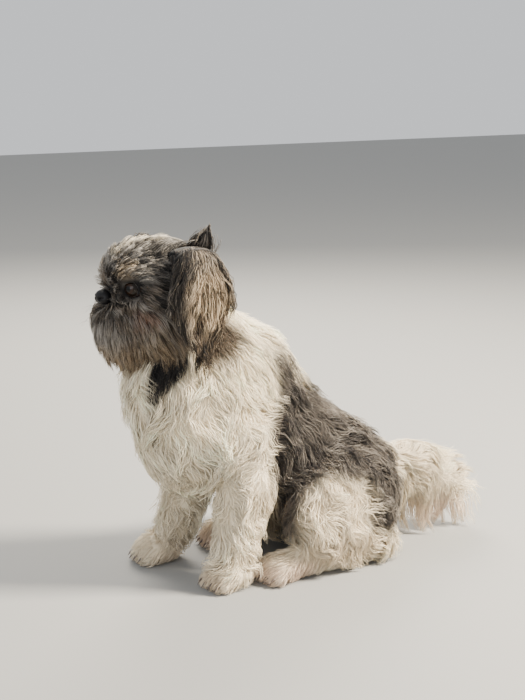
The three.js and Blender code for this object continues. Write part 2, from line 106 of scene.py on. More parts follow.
def ball(at, radii, pitch=0.0):
    """An ellipsoid, its +X end turned down by pitch."""
    at = np.asarray(at, float)
    radii = np.asarray(radii, float)
    c = math.cos(pitch)
    s = math.sin(pitch)

    def form(p):
        q = p - at
        q = np.stack((q[:, 0] * c - q[:, 2] * s, q[:, 1], q[:, 0] * s + q[:, 2] * c), 1) / radii
        k0 = np.sqrt((q * q).sum(1))
        q /= radii
        k1 = np.sqrt((q * q).sum(1))
        return k0 * (k0 - 1) / np.maximum(k1, 1e-6)

    return form


def bone(a, b, ra, rb):
    """A round bar from a to b, with its own radius at each end."""
    a = np.asarray(a, float)
    axis = np.asarray(b, float) - a

    def form(p):
        q = p - a
        t = np.clip(q @ axis / (axis @ axis), 0, 1)
        q = q - t[:, None] * axis
        return np.sqrt((q * q).sum(1)) - (ra + (rb - ra) * t)

    return form


def blend(k, *forms):
    """One smooth surface over several forms, with fillets about k wide."""

    def form(p):
        d = forms[0](p)
        for other in forms[1:]:
            e = other(p)
            h = np.maximum(k - np.abs(d - e), 0) / k
            d = np.minimum(d, e) - h * h * k / 4
        return d

    return form


def carve(k, body, tool):
    """Takes tool out of body, with an edge rounded about k."""

    def form(p):
        d = body(p)
        e = -tool(p)
        h = np.maximum(k - np.abs(d - e), 0) / k
        return np.maximum(d, e) + h * h * k / 4

    return form


def slope(form, p):
    """Distance from a form, the way out of it and its steepness, at each place."""
    nudge = 0.05
    flattest = 0.2
    d = form(p)
    g = np.stack([form(p + nudge * axis) - d for axis in np.eye(3)], 1) / nudge
    return d, unit(g), np.maximum(np.linalg.norm(g, axis=1), flattest)


def settle(form, p, height=0.0, rounds=3):
    """Moves places to a height over a form, in rounds of short steps."""
    longest = 4
    for _ in range(rounds):
        d, n, steep = slope(form, p)
        p = p - n * np.clip((d - height) / steep, -longest, longest)[:, None]
    return p


# The body's forms, in the sizes of the solids


def in_head(x, y, z):
    return SKULL + vec(x, y, z)


NOSE_AT = in_head(-62, 0, -9)


def eye_at(side):
    return in_head(-38, 27 * side, 2)


def gaze(side):
    return vec(-math.cos(0.42), math.sin(0.42) * side, 0.04)


def step(side):
    return RIGHT_STEP if side == RIGHT else 0


def trunk_form():
    return blend(
        26,
        ball((-175, 0, 175), (72, 63, 74)),
        ball((-210, 0, 228), (48, 50, 54)),
        ball((-117, 0, 217), (55, 48, 55)),
        ball((-88, 0, 153), (80, 61, 64), 0.66),
        ball((-28, 0, 113), (72, 58, 60), 0.66),
        ball((16, 0, 70), (66, 62, 68)),
        ball((-68, 0, 78), (58, 46, 46), 0.5),
    )


def neck_form():
    return bone((-140, 0, 228), (-206, 0, 300), 51, 42)


def face_form():
    parts = [
        ball(in_head(0, 0, 0), (48, 50, 46)),
        ball(in_head(-25, 0, 10), (31, 34, 33)),
        ball(in_head(-10, 0, -36), (34, 30, 24)),
        ball(in_head(-38, 0, -29), (25, 25, 20)),
        ball(in_head(-42, 0, -52), (21, 17, 10)),
    ]
    for side in SIDES:
        parts.append(ball(in_head(-12, 33 * side, -26), (30, 20, 27)))
        parts.append(ball(in_head(-46, 14 * side, -35), (20, 15, 15)))
        parts.append(ball(in_head(-37, 22 * side, 13), (12, 15, 8)))
    return blend(9, *parts)


def foreleg_form(side):
    y = FORELEG_Y * side
    upper = bone((-156, 46 * side, 165), (-150, y, 112), 34, 25)
    lower = bone((-150, y, 114), (FORELEG_X + step(side), y, 36), 24, 19)
    return blend(12, upper, lower)


def forepaw_at(side):
    return vec(FORELEG_X - 5 + 1.9 * step(side), (FORELEG_Y + 1) * side, 15)


def hindpaw_at(side):
    return vec(-110, 70 * side, 15)


def toes(at, size, heading):
    """Root, end and direction of each toe of a paw."""
    forward = vec(-math.cos(heading), math.sin(heading), 0)
    across = vec(forward[1], -forward[0], 0)
    out = []
    for n in (-1.5, -0.5, 0.5, 1.5):
        reach = size * (0.98 - 0.1 * abs(n))
        root = at + across * n * size * 0.36 + forward * reach * 0.4
        end = at + across * n * size * 0.4 + forward * reach * 0.84
        root[2] = at[2] + size * 0.08
        end[2] = size * 0.28
        out.append((root, end, forward))
    return out


PAWS = (
    (forepaw_at, 27, 0.12),
    (hindpaw_at, 25, 0.16),
)


def paw_form(at, size, heading):
    pad = ball(at, (size * 0.96, size * 0.84, size * 0.62))
    digits = [bone(root, end, size * 0.33, size * 0.27) for root, end, _ in toes(at, size, heading)]
    return blend(5, pad, *digits)


def thigh_form(side):
    return blend(
        22,
        ball((-18, 60 * side, 82), (58, 34, 52), 0.35),
        ball((-66, 74 * side, 72), (32, 24, 38), -0.3),
        bone((-60, 76 * side, 52), (26, 66 * side, 26), 22, 18),
    )


def hock_form(side):
    return bone((-90, 71 * side, 19), (8, 66 * side, 20), 16, 15)


TAIL_POINTS = np.array(((62, 0, 86), (102, -2, 92), (144, -7, 76), (176, -12, 49)), float)


def curve_at(points, t):
    """Smooth curve through points, at shares t from 0 to 1."""
    t = np.clip(np.asarray(t, float), 0, 1) * (len(points) - 1)
    i = np.minimum(t.astype(int), len(points) - 2)
    u = (t - i)[..., None]
    ends = np.vstack((2 * points[0] - points[1], points, 2 * points[-1] - points[-2]))
    a, b, c, d = ends[i], ends[i + 1], ends[i + 2], ends[i + 3]
    return 0.5 * (2 * b + (c - a) * u + (2 * a - 5 * b + 4 * c - d) * u**2 + (3 * b - a - 3 * c + d) * u**3)


def tail_form():
    a, b, c, d = curve_at(TAIL_POINTS, [0, 0.35, 0.7, 1])
    return blend(6, bone(a, b, 17, 14), bone(b, c, 14, 11), bone(c, d, 11, 7))


def ear_points(side):
    return np.array(
        (
            in_head(22, 32 * side, 37),
            in_head(20, 57 * side, 34),
            in_head(18, 71 * side, 9),
            in_head(17, 77 * side, -24),
        )
    )


def ear_form(side):
    top, upper, lower, tip = curve_at(ear_points(side), [0.12, 0.4, 0.7, 0.92])
    return blend(
        8,
        ball(top, (24, 14, 7)),
        ball(upper, (27, 8, 14)),
        ball(lower, (29, 4, 21)),
        ball(tip, (20, 3.5, 17)),
    )


def eye_socket(side):
    return ball(eye_at(side), (EYE_R + EYE_GAP,) * 3)


def lid_form(side):
    """A ring of lid round the eye's opening, thicker above."""
    look = gaze(side)
    centre = eye_at(side) + look * EYE_R * 0.45
    across = unit(np.cross(look, (0, 0, 1)))
    up = np.cross(across, look)

    def form(p):
        q = p - centre
        x = q @ across / 1.12
        z = q @ up / 0.92
        r = np.sqrt(x * x + z * z)
        thick = 1.4 + 0.4 * np.clip(z / EYE_R, -1, 1)
        return np.sqrt((r - EYE_R * 0.92) ** 2 + (q @ look) ** 2) - thick

    return form


def mouth_form():
    """The line between the lips, a thin bent slot."""
    half = [in_head(-22, 27, -50), in_head(-52, 17, -47), in_head(-66, 6, -44), in_head(-70, 0, -43)]
    parts = []
    for side in SIDES:
        line = [p * (1, side, 1) for p in half]
        parts += [bone(a, b, LIP_SLOT, LIP_SLOT) for a, b in zip(line, line[1:])]
    return blend(0.5, *parts)


FACE = face_form()
TRUNK = trunk_form()
NECK = neck_form()
TAIL = tail_form()
EARS = {side: ear_form(side) for side in SIDES}
LEGS = {side: foreleg_form(side) for side in SIDES}
THIGHS = {side: thigh_form(side) for side in SIDES}


def skin_form():
    """The whole dog as one form, with flats where it touches the floor."""
    head = FACE
    for side in SIDES:
        head = carve(1.5, head, eye_socket(side))
        head = blend(2, head, lid_form(side))
    head = carve(1.5, head, mouth_form())
    head = blend(3, head, *EARS.values())
    body = blend(14, TRUNK, TAIL, *LEGS.values(), *THIGHS.values())
    paws = [paw_form(at(side), size, turn * side) for side in SIDES for at, size, turn in PAWS]
    body = blend(8, body, *paws, *[hock_form(side) for side in SIDES])
    body = blend(24, body, NECK)
    whole = blend(10, head, body)
    return lambda p: np.maximum(whole(p), FORM_LEVEL - p[:, 2])


SKIN = skin_form()


# Meshes


# Cells along each side of a block of the grid
BLOCK = 4


def grid_places(*counts):
    return np.stack(np.meshgrid(*[np.arange(n) for n in counts], indexing="ij"), -1).reshape(-1, 3)


def sample_grid(form, low, cell, blocks):
    """Distances on a grid, worked out only in the blocks that lie near the surface."""
    margin = 1.9
    far = 1e3
    corners = grid_places(*blocks) * BLOCK
    rough = form(low + (corners + BLOCK / 2) * cell)
    values = np.repeat(np.where(rough < 0, -1.0, 1.0), BLOCK**3).reshape(-1, BLOCK**3) * far
    close = np.abs(rough) < cell * BLOCK * margin
    nodes = corners[close][:, None, :] + grid_places(BLOCK, BLOCK, BLOCK)[None]
    values[close] = form(low + nodes.reshape(-1, 3) * cell).reshape(-1, BLOCK**3)
    values = values.reshape(*blocks, BLOCK, BLOCK, BLOCK)
    return values.transpose(0, 3, 1, 4, 2, 5).reshape([n * BLOCK for n in blocks])


def net(form, low, high, cell):
    """A closed quad net over a form: one point in each cell the surface crosses."""
    low = np.asarray(low, float)
    blocks = np.ceil((np.asarray(high, float) - low) / (cell * BLOCK)).astype(int)
    f = sample_grid(form, low, cell, blocks)
    inside = f < 0
    corners = [(i, j, k) for i in (0, 1) for j in (0, 1) for k in (0, 1)]
    shape = [n - 1 for n in f.shape]

    def at_corner(grid, corner):
        return grid[tuple(slice(c, c + n) for c, n in zip(corner, shape))]

    count = sum(at_corner(inside, c).astype(np.int8) for c in corners)
    cells = np.argwhere((count > 0) & (count < 8))
    number = np.full(shape, -1)
    number[tuple(cells.T)] = np.arange(len(cells))
    total = np.zeros((len(cells), 3))
    hits = np.zeros(len(cells))
    for a in corners:
        for axis in range(3):
            if a[axis]:
                continue
            b = tuple(1 if i == axis else a[i] for i in range(3))
            fa = f[tuple((cells + a).T)]
            fb = f[tuple((cells + b).T)]
            cross = (fa < 0) != (fb < 0)
            t = np.where(cross, fa / np.where(cross, fa - fb, 1), 0)
            spot = np.array(a, float)[None] + t[:, None] * np.eye(3)[axis]
            total += spot * cross[:, None]
            hits += cross
    points = low + (cells + total / hits[:, None]) * cell
    faces = []
    for axis in range(3):
        u, v = (axis + 1) % 3, (axis + 2) % 3
        start = [slice(None)] * 3
        end = [slice(None)] * 3
        start[axis] = slice(0, -1)
        end[axis] = slice(1, None)
        for sign in (True, False):
            change = (inside[tuple(start)] == sign) & (inside[tuple(end)] != sign)
            edge = np.argwhere(change)
            edge = edge[(edge[:, u] > 0) & (edge[:, v] > 0)]
            ring = []
            for du, dv in ((-1, -1), (0, -1), (0, 0), (-1, 0)):
                c = edge.copy()
                c[:, u] += du
                c[:, v] += dv
                ring.append(number[tuple(c.T)])
            quad = np.stack(ring, 1)
            faces.append(quad if sign else quad[:, ::-1])
    return settle(form, points, rounds=2), np.concatenate(faces)


def make_mesh(name, points, faces, colours=None):
    """points in millimetres; faces is an array of equal polygons, or a list of such arrays."""
    groups = [faces] if isinstance(faces, np.ndarray) else faces
    corners = np.concatenate([g.ravel() for g in groups])
    sizes = np.concatenate([np.full(len(g), g.shape[1]) for g in groups])
    starts = np.concatenate(([0], np.cumsum(sizes)[:-1]))
    mesh = bpy.data.meshes.new(name)
    mesh.vertices.add(len(points))
    mesh.vertices.foreach_set("co", (points * MM).astype(np.float32).ravel())
    mesh.loops.add(len(corners))
    mesh.loops.foreach_set("vertex_index", corners.astype(np.int32))
    mesh.polygons.add(len(sizes))
    mesh.polygons.foreach_set("loop_start", starts.astype(np.int32))
    mesh.update(calc_edges=True)
    mesh.polygons.foreach_set("use_smooth", np.ones(len(sizes), bool))
    if colours is not None:
        layer = mesh.attributes.new(COLOUR_LAYER, "FLOAT_COLOR", "POINT")
        rgba = np.concatenate((colours, np.ones((len(colours), 1))), 1)
        layer.data.foreach_set("color", rgba.astype(np.float32).ravel())
    return mesh


def add_piece(mesh, material, replaces=()):
    """Makes a mesh a piece of the dog, which stands for the CAD nodes named in replaces."""
    piece = bpy.data.objects.new(mesh.name, mesh)
    bpy.context.scene.collection.objects.link(piece)
    mesh.materials.clear()
    mesh.materials.append(material)
    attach(piece, "root")
    if replaces:
        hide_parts(*replaces)
    return piece


# Markings

# Patches on the head, on both sides alike: a colour of the settings and how bright it is here, the place
# from the skull's centre, radii, softness of the edge and share of the colour
HEAD_PATCHES = (
    ("silver", 1.15, (-59, 6, 38), (12, 12, 12), 0.5, 0.7),
    ("white", 0.8, (-42, 2, 46), (16, 7, 16), 0.4, 0.5),
    ("white", 0.8, (-8, 2, 56), (34, 8, 12), 0.4, 0.75),
    ("cream", 0.75, (-45, 25, 21), (12, 11, 9), 0.5, 0.85),
    ("silver", 1, (-29, 39, 14), (10, 9, 11), 0.5, 0.7),
    ("dark", 1, (-20, 42, 41), (14, 14, 16), 0.4, 0.95),
    ("dark", 1, (-51, 0, 3), (11, 18, 9), 0.45, 0.85),
    ("dark", 0.8, (-38, 28, 2), (17, 15, 12), 0.35, 0.95),
    ("grey", 0.8, (-68, 0, -24), (18, 20, 12), 0.5, 0.85),
    ("tan", 0.75, (-46, 28, -28), (13, 10, 12), 0.5, 0.6),
    ("silver", 1.25, (-70, 8, -50), (18, 18, 11), 0.45, 0.85),
    ("silver", 1.05, (-56, 22, -46), (13, 12, 9), 0.5, 0.7),
    ("dark", 1, (-70, 4, -35), (9, 16, 3.5), 0.6, 0.75),
    ("cream", 1, (-16, 41, -44), (16, 14, 14), 0.5, 0.5),
    ("rust", 1.2, (-24, 40, -29), (19, 13, 12), 0.5, 0.8),
    # Painted shade: dark on the cheek under the front edge of the ear, between ear and cheek
    ("dark", 1, (-12, 55, -4), (9, 14, 30), 0.35, 0.85),
)


def ripple(p, size, seed):
    """Soft noise between 0 and 1, the same for the same place."""
    rng = np.random.default_rng(seed)
    total = np.zeros(len(p))
    for _ in range(6):
        way = rng.normal(size=3)
        way *= rng.uniform(0.6, 1.6) / np.linalg.norm(way)
        total += np.sin(p @ way * 2 * math.pi / size + rng.uniform(0, 6.28))
    return np.clip(0.5 + total / 6, 0, 1)


def near(p, at, radii, soft=0.35):
    """1 inside an ellipsoid, falling to 0 past its edge."""
    q = np.sqrt((((p - np.asarray(at, float)) / radii) ** 2).sum(1))
    return 1 - smooth(q, 1 - soft, 1 + soft)


def lay(base, colour, share):
    """Lays a colour over others, by its share at each place."""
    return mix(base, colour, np.clip(share, 0, 1)[:, None])


def body_colour(p, paint):
    x, y, z = p.T
    wave = 16 * (ripple(p, 60, 3) - 0.5)
    fine = ripple(p, 19, 6)
    low = smooth(-z, -190, -60) * ripple(p, 50, 5)
    out = mix(paint.white, paint.cream, 0.3 * low[:, None])
    front = -45 - 74 * smooth(np.abs(y), 10, 66) + wave
    saddle = smooth(x, front - 7, front + 7) * (1 - smooth(x, 66, 80)) * smooth(z, 34, 50)
    tone = mix(paint.grey * 1.35, paint.dark * 2.5, ripple(p, 42, 4)[:, None])
    tone = mix(tone, mix(paint.silver, paint.tan, 0.3), smooth(fine, 0.5, 0.8)[:, None] * 0.7)
    out = lay(out, tone, saddle)
    for side in SIDES:
        patch = near(p + wave[:, None] * 0.5, (-50, 100 * side, 70), (50, 42, 48), 0.2)
        out = lay(out, mix(paint.white, paint.cream, 0.25), patch)
        out = lay(out, paint.cream, near(p, (-40, 96 * side, 26), (60, 40, 20)) * 0.4)
        out = lay(out, paint.pink, near(p, (-112, 70 * side, 8), (40, 34, 18)) * 0.55)
        forepaw = near(p, (-196, 58 * side, 0), (34, 30, 26), 0.5)
        out = lay(out, mix(paint.cream, paint.pink, 0.4), forepaw * 0.45)
        under_ear = near(p, (-178, 60 * side, 278), (34, 32, 24), 0.3)
        out = lay(out, mix(paint.grey, paint.tan, 0.4), under_ear)
        ahead = 14 if side == RIGHT else 0
        throat = bone((-236 - ahead, 48 * side, 258), (-251 - ahead, 35 * side, 220), 20, 8)(p)
        out = lay(out, paint.dark, 1 - smooth(throat, -1, 3))
    # Dark grey under the belly between the legs: partly the belly's darker hair, partly painted shade under
    # the body
    belly_hair_and_shade = near(p, (-85, 0, 66), (42, 56, 34), 0.4)
    out = lay(out, paint.grey * 0.7, belly_hair_and_shade * 0.9)
    out = lay(out, paint.pink * 1.1, near(p, (148, -8, 22), (50, 30, 20), 0.6) * 0.5)
    return out


def head_colour(p, paint):
    q = p - SKULL
    q[:, 1] = np.abs(q[:, 1])
    fine = ripple(p, 13, 12)
    out = mix(paint.grey * 1.2, mix(paint.tan, paint.silver, 0.4), ripple(p, 22, 10)[:, None])
    chin = mix(paint.tan, paint.cream, 0.3 + 0.5 * (fine[:, None] - 0.5))
    out = lay(out, chin, smooth(-q[:, 2], 46, 62))
    crown = mix(paint.silver * 0.9, paint.dark, smooth(ripple(p, 9, 11), 0.25, 0.65)[:, None])
    out = lay(out, crown, smooth(q[:, 2], 6, 24))
    for name, bright, at, radii, soft, share in HEAD_PATCHES:
        out = lay(out, getattr(paint, name) * bright, near(q, at, radii, soft) * share)
    out = lay(out, paint.silver * 1.3, smooth(fine, 0.55, 0.8) * 0.5)
    return lay(out, paint.grey * 1.3, smooth(q[:, 0], 30, 44))


def ear_colour(p, paint):
    q = p - SKULL
    rise = q[:, 2] + 10 * (ripple(p, 30, 21) - 0.5)
    strand = smooth(ripple(p, 11, 22), 0.3, 0.7)[:, None]
    out = mix(paint.dark * 1.5, mix(paint.tan, paint.silver, 0.6), strand)
    straw = mix(paint.tan * 0.8, paint.cream * 1.15, strand)
    out = lay(out, straw, near(q * (1, 0, 1), (24, 0, -16), (28, 1, 36), 0.3))
    out = lay(out, mix(paint.dark, paint.tan * 0.7, strand), smooth(-rise, 34, 56) * 0.95)
    # Painted shade: the hollow at the front of the ear's root, darkened
    cavity_shade = near(q * (1, 0, 1), (-6, 0, 30), (11, 1, 19), 0.4)
    return lay(out, paint.dark, cavity_shade * 0.95)


def tuft_colour(p, paint):
    return mix(paint.dark, paint.grey * 1.2, smooth(ripple(p, 7, 23), 0.4, 0.8)[:, None])


def skin_colour(p, paint):
    ear = np.minimum(EARS[LEFT](p), EARS[RIGHT](p))
    face = FACE(p)
    body = np.minimum(np.minimum(TRUNK(p), NECK(p)), np.minimum(LEGS[LEFT](p), LEGS[RIGHT](p)))
    # Painted shade in the gaps between strands: the skin is darker than the coat, about 0.43 of it on the
    # head, 0.85 on the body and 0.25 on the ears
    out = lay(head_colour(p, paint) * 0.5, body_colour(p, paint), smooth(face - body, -6, 6))
    out = lay(ear_colour(p, paint) * 0.25, out * 0.85, smooth(ear, 0, 5))
    lips = 1 - smooth(mouth_form()(p), 1.5, 5)
    lids = 1 - smooth(np.minimum(lid_form(LEFT)(p), lid_form(RIGHT)(p)), 1, 4)
    return lay(out, paint.dark * 0.6, np.maximum(lips, lids))


# Lie of the coat


def away_from_middle(p):
    return np.sign(p[:, 1]) * smooth(np.abs(p[:, 1]), 0, 30)


def trunk_lie(p):
    front = smooth(-p[:, 0], 120, 205)
    return unit(np.stack((mix(0.75, 0.10, front), 0.14 * away_from_middle(p), np.full(len(p), -0.8)), 1))


def neck_lie(p):
    front = smooth(-p[:, 0], 150, 215)
    return unit(np.stack((mix(0.6, 0.0, front), 0.2 * away_from_middle(p), np.full(len(p), -0.85)), 1))


def head_lie(p):
    away = unit(p - NOSE_AT)
    low = smooth(SKULL[2] - p[:, 2], 12, 40)
    away[:, 2] -= 1.25 * low
    away[:, 0] += 0.15
    for side in SIDES:
        off = p - eye_at(side)
        reach = np.linalg.norm(off, axis=1)
        away += off / reach[:, None] * 2.0 * (1 - smooth(reach, 10, 22))[:, None]
    return unit(away)


def leg_lie(p):
    return unit(np.tile(vec(0.14, 0, -1), (len(p), 1)))


def thigh_lie(p):
    return unit(np.stack((np.full(len(p), 0.42), 0.1 * np.sign(p[:, 1]), np.full(len(p), -0.85)), 1))


def paw_lie(p):
    return unit(np.tile(vec(-0.6, 0, -0.6), (len(p), 1)))


def off_tail(p):
    """How far along the tail each place is, and its way off the tail's middle line."""
    t = np.clip((p[:, 0] - TAIL_POINTS[0, 0]) / np.ptp(TAIL_POINTS[:, 0]), 0, 1)
    return t, p - curve_at(TAIL_POINTS, t)


def tail_lie(p):
    """Back and up over the end of the tail, straight down under it."""
    t, off = off_tail(p)
    along = unit(curve_at(TAIL_POINTS, t + 0.03) - curve_at(TAIL_POINTS, t - 0.03))
    under = smooth(-off[:, 2], -2, 8)[:, None]
    rise = smooth(t, 0.4, 1.0)[:, None] * (1 - under)
    way = along * (1 - 0.55 * under) + unit(off) * 0.5
    return unit(way - vec(0, 0, 0.9) * under + vec(0.2, 0, 0.7) * rise)


def ear_lie(p):
    """Out over the root of the ear, then down, fanned above and drawn together below."""
    side = np.sign(p[:, 1])
    q = p - SKULL
    u = (q[:, 0] - 18) / 28
    fan = mix(-0.3, 0.3, smooth(q[:, 2], -50, 20))
    over = smooth(q[:, 2], 28, 44)
    return unit(np.stack((fan * u, mix(0.05, 0.8, over) * side, mix(-1.0, -0.45, over)), 1))


TUFT_TIP = in_head(46, -37, 56)


def tuft_lie(p):
    """Towards the point of the tuft behind the root of the left ear."""
    return unit(TUFT_TIP - p)


# Coat regions


def owner(p):
    """Which part each place belongs to, by the nearest form."""
    limbs = np.minimum(LEGS[LEFT](p), LEGS[RIGHT](p))
    thighs = np.minimum(THIGHS[LEFT](p), THIGHS[RIGHT](p))
    paws = np.min([paw_form(at(s), size, turn * s)(p) for s in SIDES for at, size, turn in PAWS], 0)
    hocks = np.minimum(hock_form(LEFT)(p), hock_form(RIGHT)(p))
    ears = np.minimum(EARS[LEFT](p), EARS[RIGHT](p)) - 1
    parts = [FACE(p) - 2, NECK(p), TRUNK(p), limbs, thighs, np.minimum(paws, hocks), TAIL(p), ears]
    return np.argmin(parts, 0)


HEAD, RUFF, BODY, LEG, THIGH, PAW, PLUME, EAR = range(8)


def head_length(p):
    low = smooth(SKULL[2] - p[:, 2], 10, 44)
    front = smooth(SKULL[0] - p[:, 0], 8, 46)
    length = mix(mix(30, 15, front), mix(42, 38, front), low)
    to_nose = np.linalg.norm(p - NOSE_AT, axis=1)
    to_eye = np.min([np.linalg.norm(p - eye_at(side), axis=1) for side in SIDES], 0)
    return length * mix(1, 0.35, (1 - smooth(to_nose, 28, 38)) * (1 - smooth(to_eye, 17, 30)))


def tail_length(p):
    t, off = off_tail(p)
    return mix(60, 36, smooth(t, 0.35, 1.0)) + 24 * smooth(-off[:, 2], -2, 8)


def head_hug(p):
    """Close over the skull, free below the nose."""
    return mix(0.8, 0.12, smooth(SKULL[2] - p[:, 2], 18, 40))


# Distances from the middle of an eye's opening and from the nose where hair starts and is full
LID_RING = (11, 14)
NOSE_RING = (8, 11)


def growth(p, region):
    """Share of the full coat: none on lids, nose and pads, and where parts lie together."""
    part = region["part"]
    share = np.ones(len(p))
    if part == HEAD:
        for side in SIDES:
            share *= smooth(np.linalg.norm(p - eye_at(side) - gaze(side) * 5, axis=1), *LID_RING)
        share *= smooth(np.linalg.norm(p - NOSE_AT, axis=1), *NOSE_RING)
        share *= mix(1, 2.2, smooth(SKULL[0] - p[:, 0], 10, 40))
        share *= 1 - 0.8 * smooth(p[:, 0] - SKULL[0], 20, 34) * smooth(SKULL[2] - p[:, 2], -10, 10)
    if part in (PAW, THIGH, BODY):
        share *= smooth(p[:, 2], 2, 8)
    if part == LEG:
        share *= smooth(TRUNK(p), -2, 4)
    if part == EAR:
        share *= mix(1, 1.8, smooth(SKULL[2] - p[:, 2], 5, 45))
        share *= mix(1, 3.5, smooth(p[:, 2] - SKULL[2], 20, 32))
    if region["lie"] is tuft_lie:
        share *= near(p - SKULL, (34, -34, 36), (14, 14, 12), 0.1)
    return share


# part: the owner of the roots; pieces: how many meshes share them; count and steps: strands, and lengths in
# each; lie, length and hug: a number or a function of the place; tip: height of the tips over the skin;
# clump: how far strands draw together; knot: strands in a lock; sag: pull down; hug: how closely they follow
# the body; curl and wave: width and length of the waves; swirl: how far the lie turns from place to place;
# tone: spread of the shades; along: share of the colour taken from each place, not the strand's middle;
# ragged: the shortest lock's share of the length
REGIONS = {
    "face": dict(
        part=HEAD, pieces=2, count=14000, steps=4, lie=head_lie, length=head_length, tip=TIP["head"],
        width=0.85, clump=0.55, knot=16, sag=0.5, hug=head_hug, curl=0.8, wave=26, swirl=0.25, tone=0.45,
        along=0.2, colour=head_colour,
    ),
    "ears": dict(
        part=EAR, pieces=2, count=6800, steps=6, lie=ear_lie, length=66, tip=8,
        width=1.1, clump=0.72, knot=30, sag=0.15, hug=0.15, curl=3.0, wave=40, swirl=0.25, tone=0.55,
        colour=ear_colour,
    ),
    "tufts": dict(
        part=EAR, pieces=1, count=480, steps=4, lie=tuft_lie, length=23, tip=30,
        width=0.95, clump=0.4, knot=40, sag=0, hug=0, curl=1.0, wave=34, swirl=0.2, tone=0.3,
        colour=tuft_colour,
    ),
    "ruff": dict(
        part=RUFF, pieces=1, count=5600, steps=5, lie=neck_lie, length=46, tip=TIP["neck"],
        width=1.15, clump=0.45, knot=20, sag=0.2, hug=0.85, curl=2.4, wave=34, swirl=0.3, tone=0.1,
        colour=body_colour,
    ),
    "body": dict(
        part=BODY, pieces=2, count=11200, steps=5, lie=trunk_lie, length=44, tip=TIP["trunk"],
        width=1.25, clump=0.5, knot=26, sag=0.2, hug=0.85, curl=3.0, wave=32, swirl=0.8, tone=0.2,
        colour=body_colour,
    ),
    "legs": dict(
        part=LEG, pieces=1, count=4600, steps=5, lie=leg_lie, length=34, tip=TIP["leg"],
        width=1.15, clump=0.6, knot=22, sag=0, hug=0.85, curl=3.2, wave=26, swirl=1.0, tone=0.1,
        colour=body_colour,
    ),
    "thighs": dict(
        part=THIGH, pieces=1, count=6400, steps=5, lie=thigh_lie, length=38, tip=TIP["trunk"],
        width=1.2, clump=0.65, knot=28, sag=0.1, hug=0.85, curl=3.8, wave=30, swirl=1.1, tone=0.12,
        colour=body_colour,
    ),
    "paws": dict(
        part=PAW, pieces=1, count=4000, steps=3, lie=paw_lie, length=15, tip=TIP["paw"],
        width=0.95, clump=0.4, knot=10, sag=0, hug=0.9, curl=0.6, wave=20, swirl=0.3, tone=0.1,
        colour=body_colour,
    ),
    "tail": dict(
        part=PLUME, pieces=1, count=3600, steps=6, lie=tail_lie, length=tail_length, tip=TIP["tail"],
        width=0.9, clump=0.55, knot=24, sag=0.5, hug=0, curl=3.0, wave=40, swirl=0.8, tone=0.1,
        ragged=0.45, colour=body_colour,
    ),
}


def value_at(setting, p):
    """A region's number, or what its function gives, at each place."""
    return setting(p) if callable(setting) else np.full(len(p), float(setting))


def skin_triangles(mesh):
    """Corners of the skin's triangles in millimetres, and their places on its unwrap."""
    mesh.calc_loop_triangles()
    count = len(mesh.loop_triangles)
    corners = np.zeros(count * 3, np.int32)
    loops = np.zeros(count * 3, np.int32)
    mesh.loop_triangles.foreach_get("vertices", corners)
    mesh.loop_triangles.foreach_get("loops", loops)
    co = np.zeros(len(mesh.vertices) * 3, np.float32)
    mesh.vertices.foreach_get("co", co)
    uv = np.zeros(len(mesh.loops) * 2, np.float32)
    mesh.uv_layers[UV_MAP].data.foreach_get("uv", uv)
    points = co.reshape(-1, 3)[corners.reshape(-1, 3)].astype(float) / MM
    return points, uv.reshape(-1, 2)[loops.reshape(-1, 3)].astype(float)


def scatter(mesh, region, rng):
    """Roots on the skin, with their place on its unwrap."""
    points, uv = skin_triangles(mesh)
    middle = points.mean(1)
    area = np.linalg.norm(np.cross(points[:, 1] - points[:, 0], points[:, 2] - points[:, 0]), axis=1) / 2
    weight = area * (owner(middle) == region["part"]) * growth(middle, region)
    pick = rng.choice(len(area), region["count"], p=weight / weight.sum())
    share = rng.dirichlet((1, 1, 1), region["count"])
    roots = (points[pick] * share[:, :, None]).sum(1)
    return roots, (uv[pick] * share[:, :, None]).sum(1)


def find_locks(roots, region, rng):
    """For each root, the root that leads its lock."""
    leads = rng.choice(len(roots), max(1, len(roots) // region["knot"]), replace=False)
    tree = KDTree(len(leads))
    for i, lead in enumerate(leads):
        tree.insert(roots[lead], i)
    tree.balance()
    return leads[[tree.find(root)[1] for root in roots]]


def march(p, region, length, depth):
    """Places along each strand: it leaves the skin, follows the lie and ends at its depth over the skin."""
    path = [p]
    steps = region["steps"]
    furthest = 9
    for i in range(1, steps + 1):
        t = i / steps
        _, out, _ = slope(SKIN, p)
        way = region["lie"](p)
        way[:, 2] -= region["sag"] * t
        hug = value_at(region["hug"], p)
        way = way - out * ((way * out).sum(1) * hug)[:, None]
        turn = (region["swirl"] * 2.4 * (ripple(p, 46, 31) - 0.5))[:, None]
        way = unit(way * np.cos(turn) + np.cross(out, way) * np.sin(turn))
        p = p + way * (length / steps)[:, None]
        d, out, steep = slope(SKIN, p)
        height = depth * (0.35 + 0.65 * t) * min(1, 2.2 * t)
        gap = (height - d) / steep
        p = p + out * np.clip(np.where(gap > 0, gap, gap * hug), -furthest, furthest)[:, None]
        path.append(p)
    return np.stack(path, 1)


# Short hair under the coat: its share of the strands, how far it stands and draws together, and its painted
# shade, a darkening as if the outer locks shade it
UNDER = SimpleNamespace(share=0.3, depth=0.55, clump=0.4, shade=0.3)


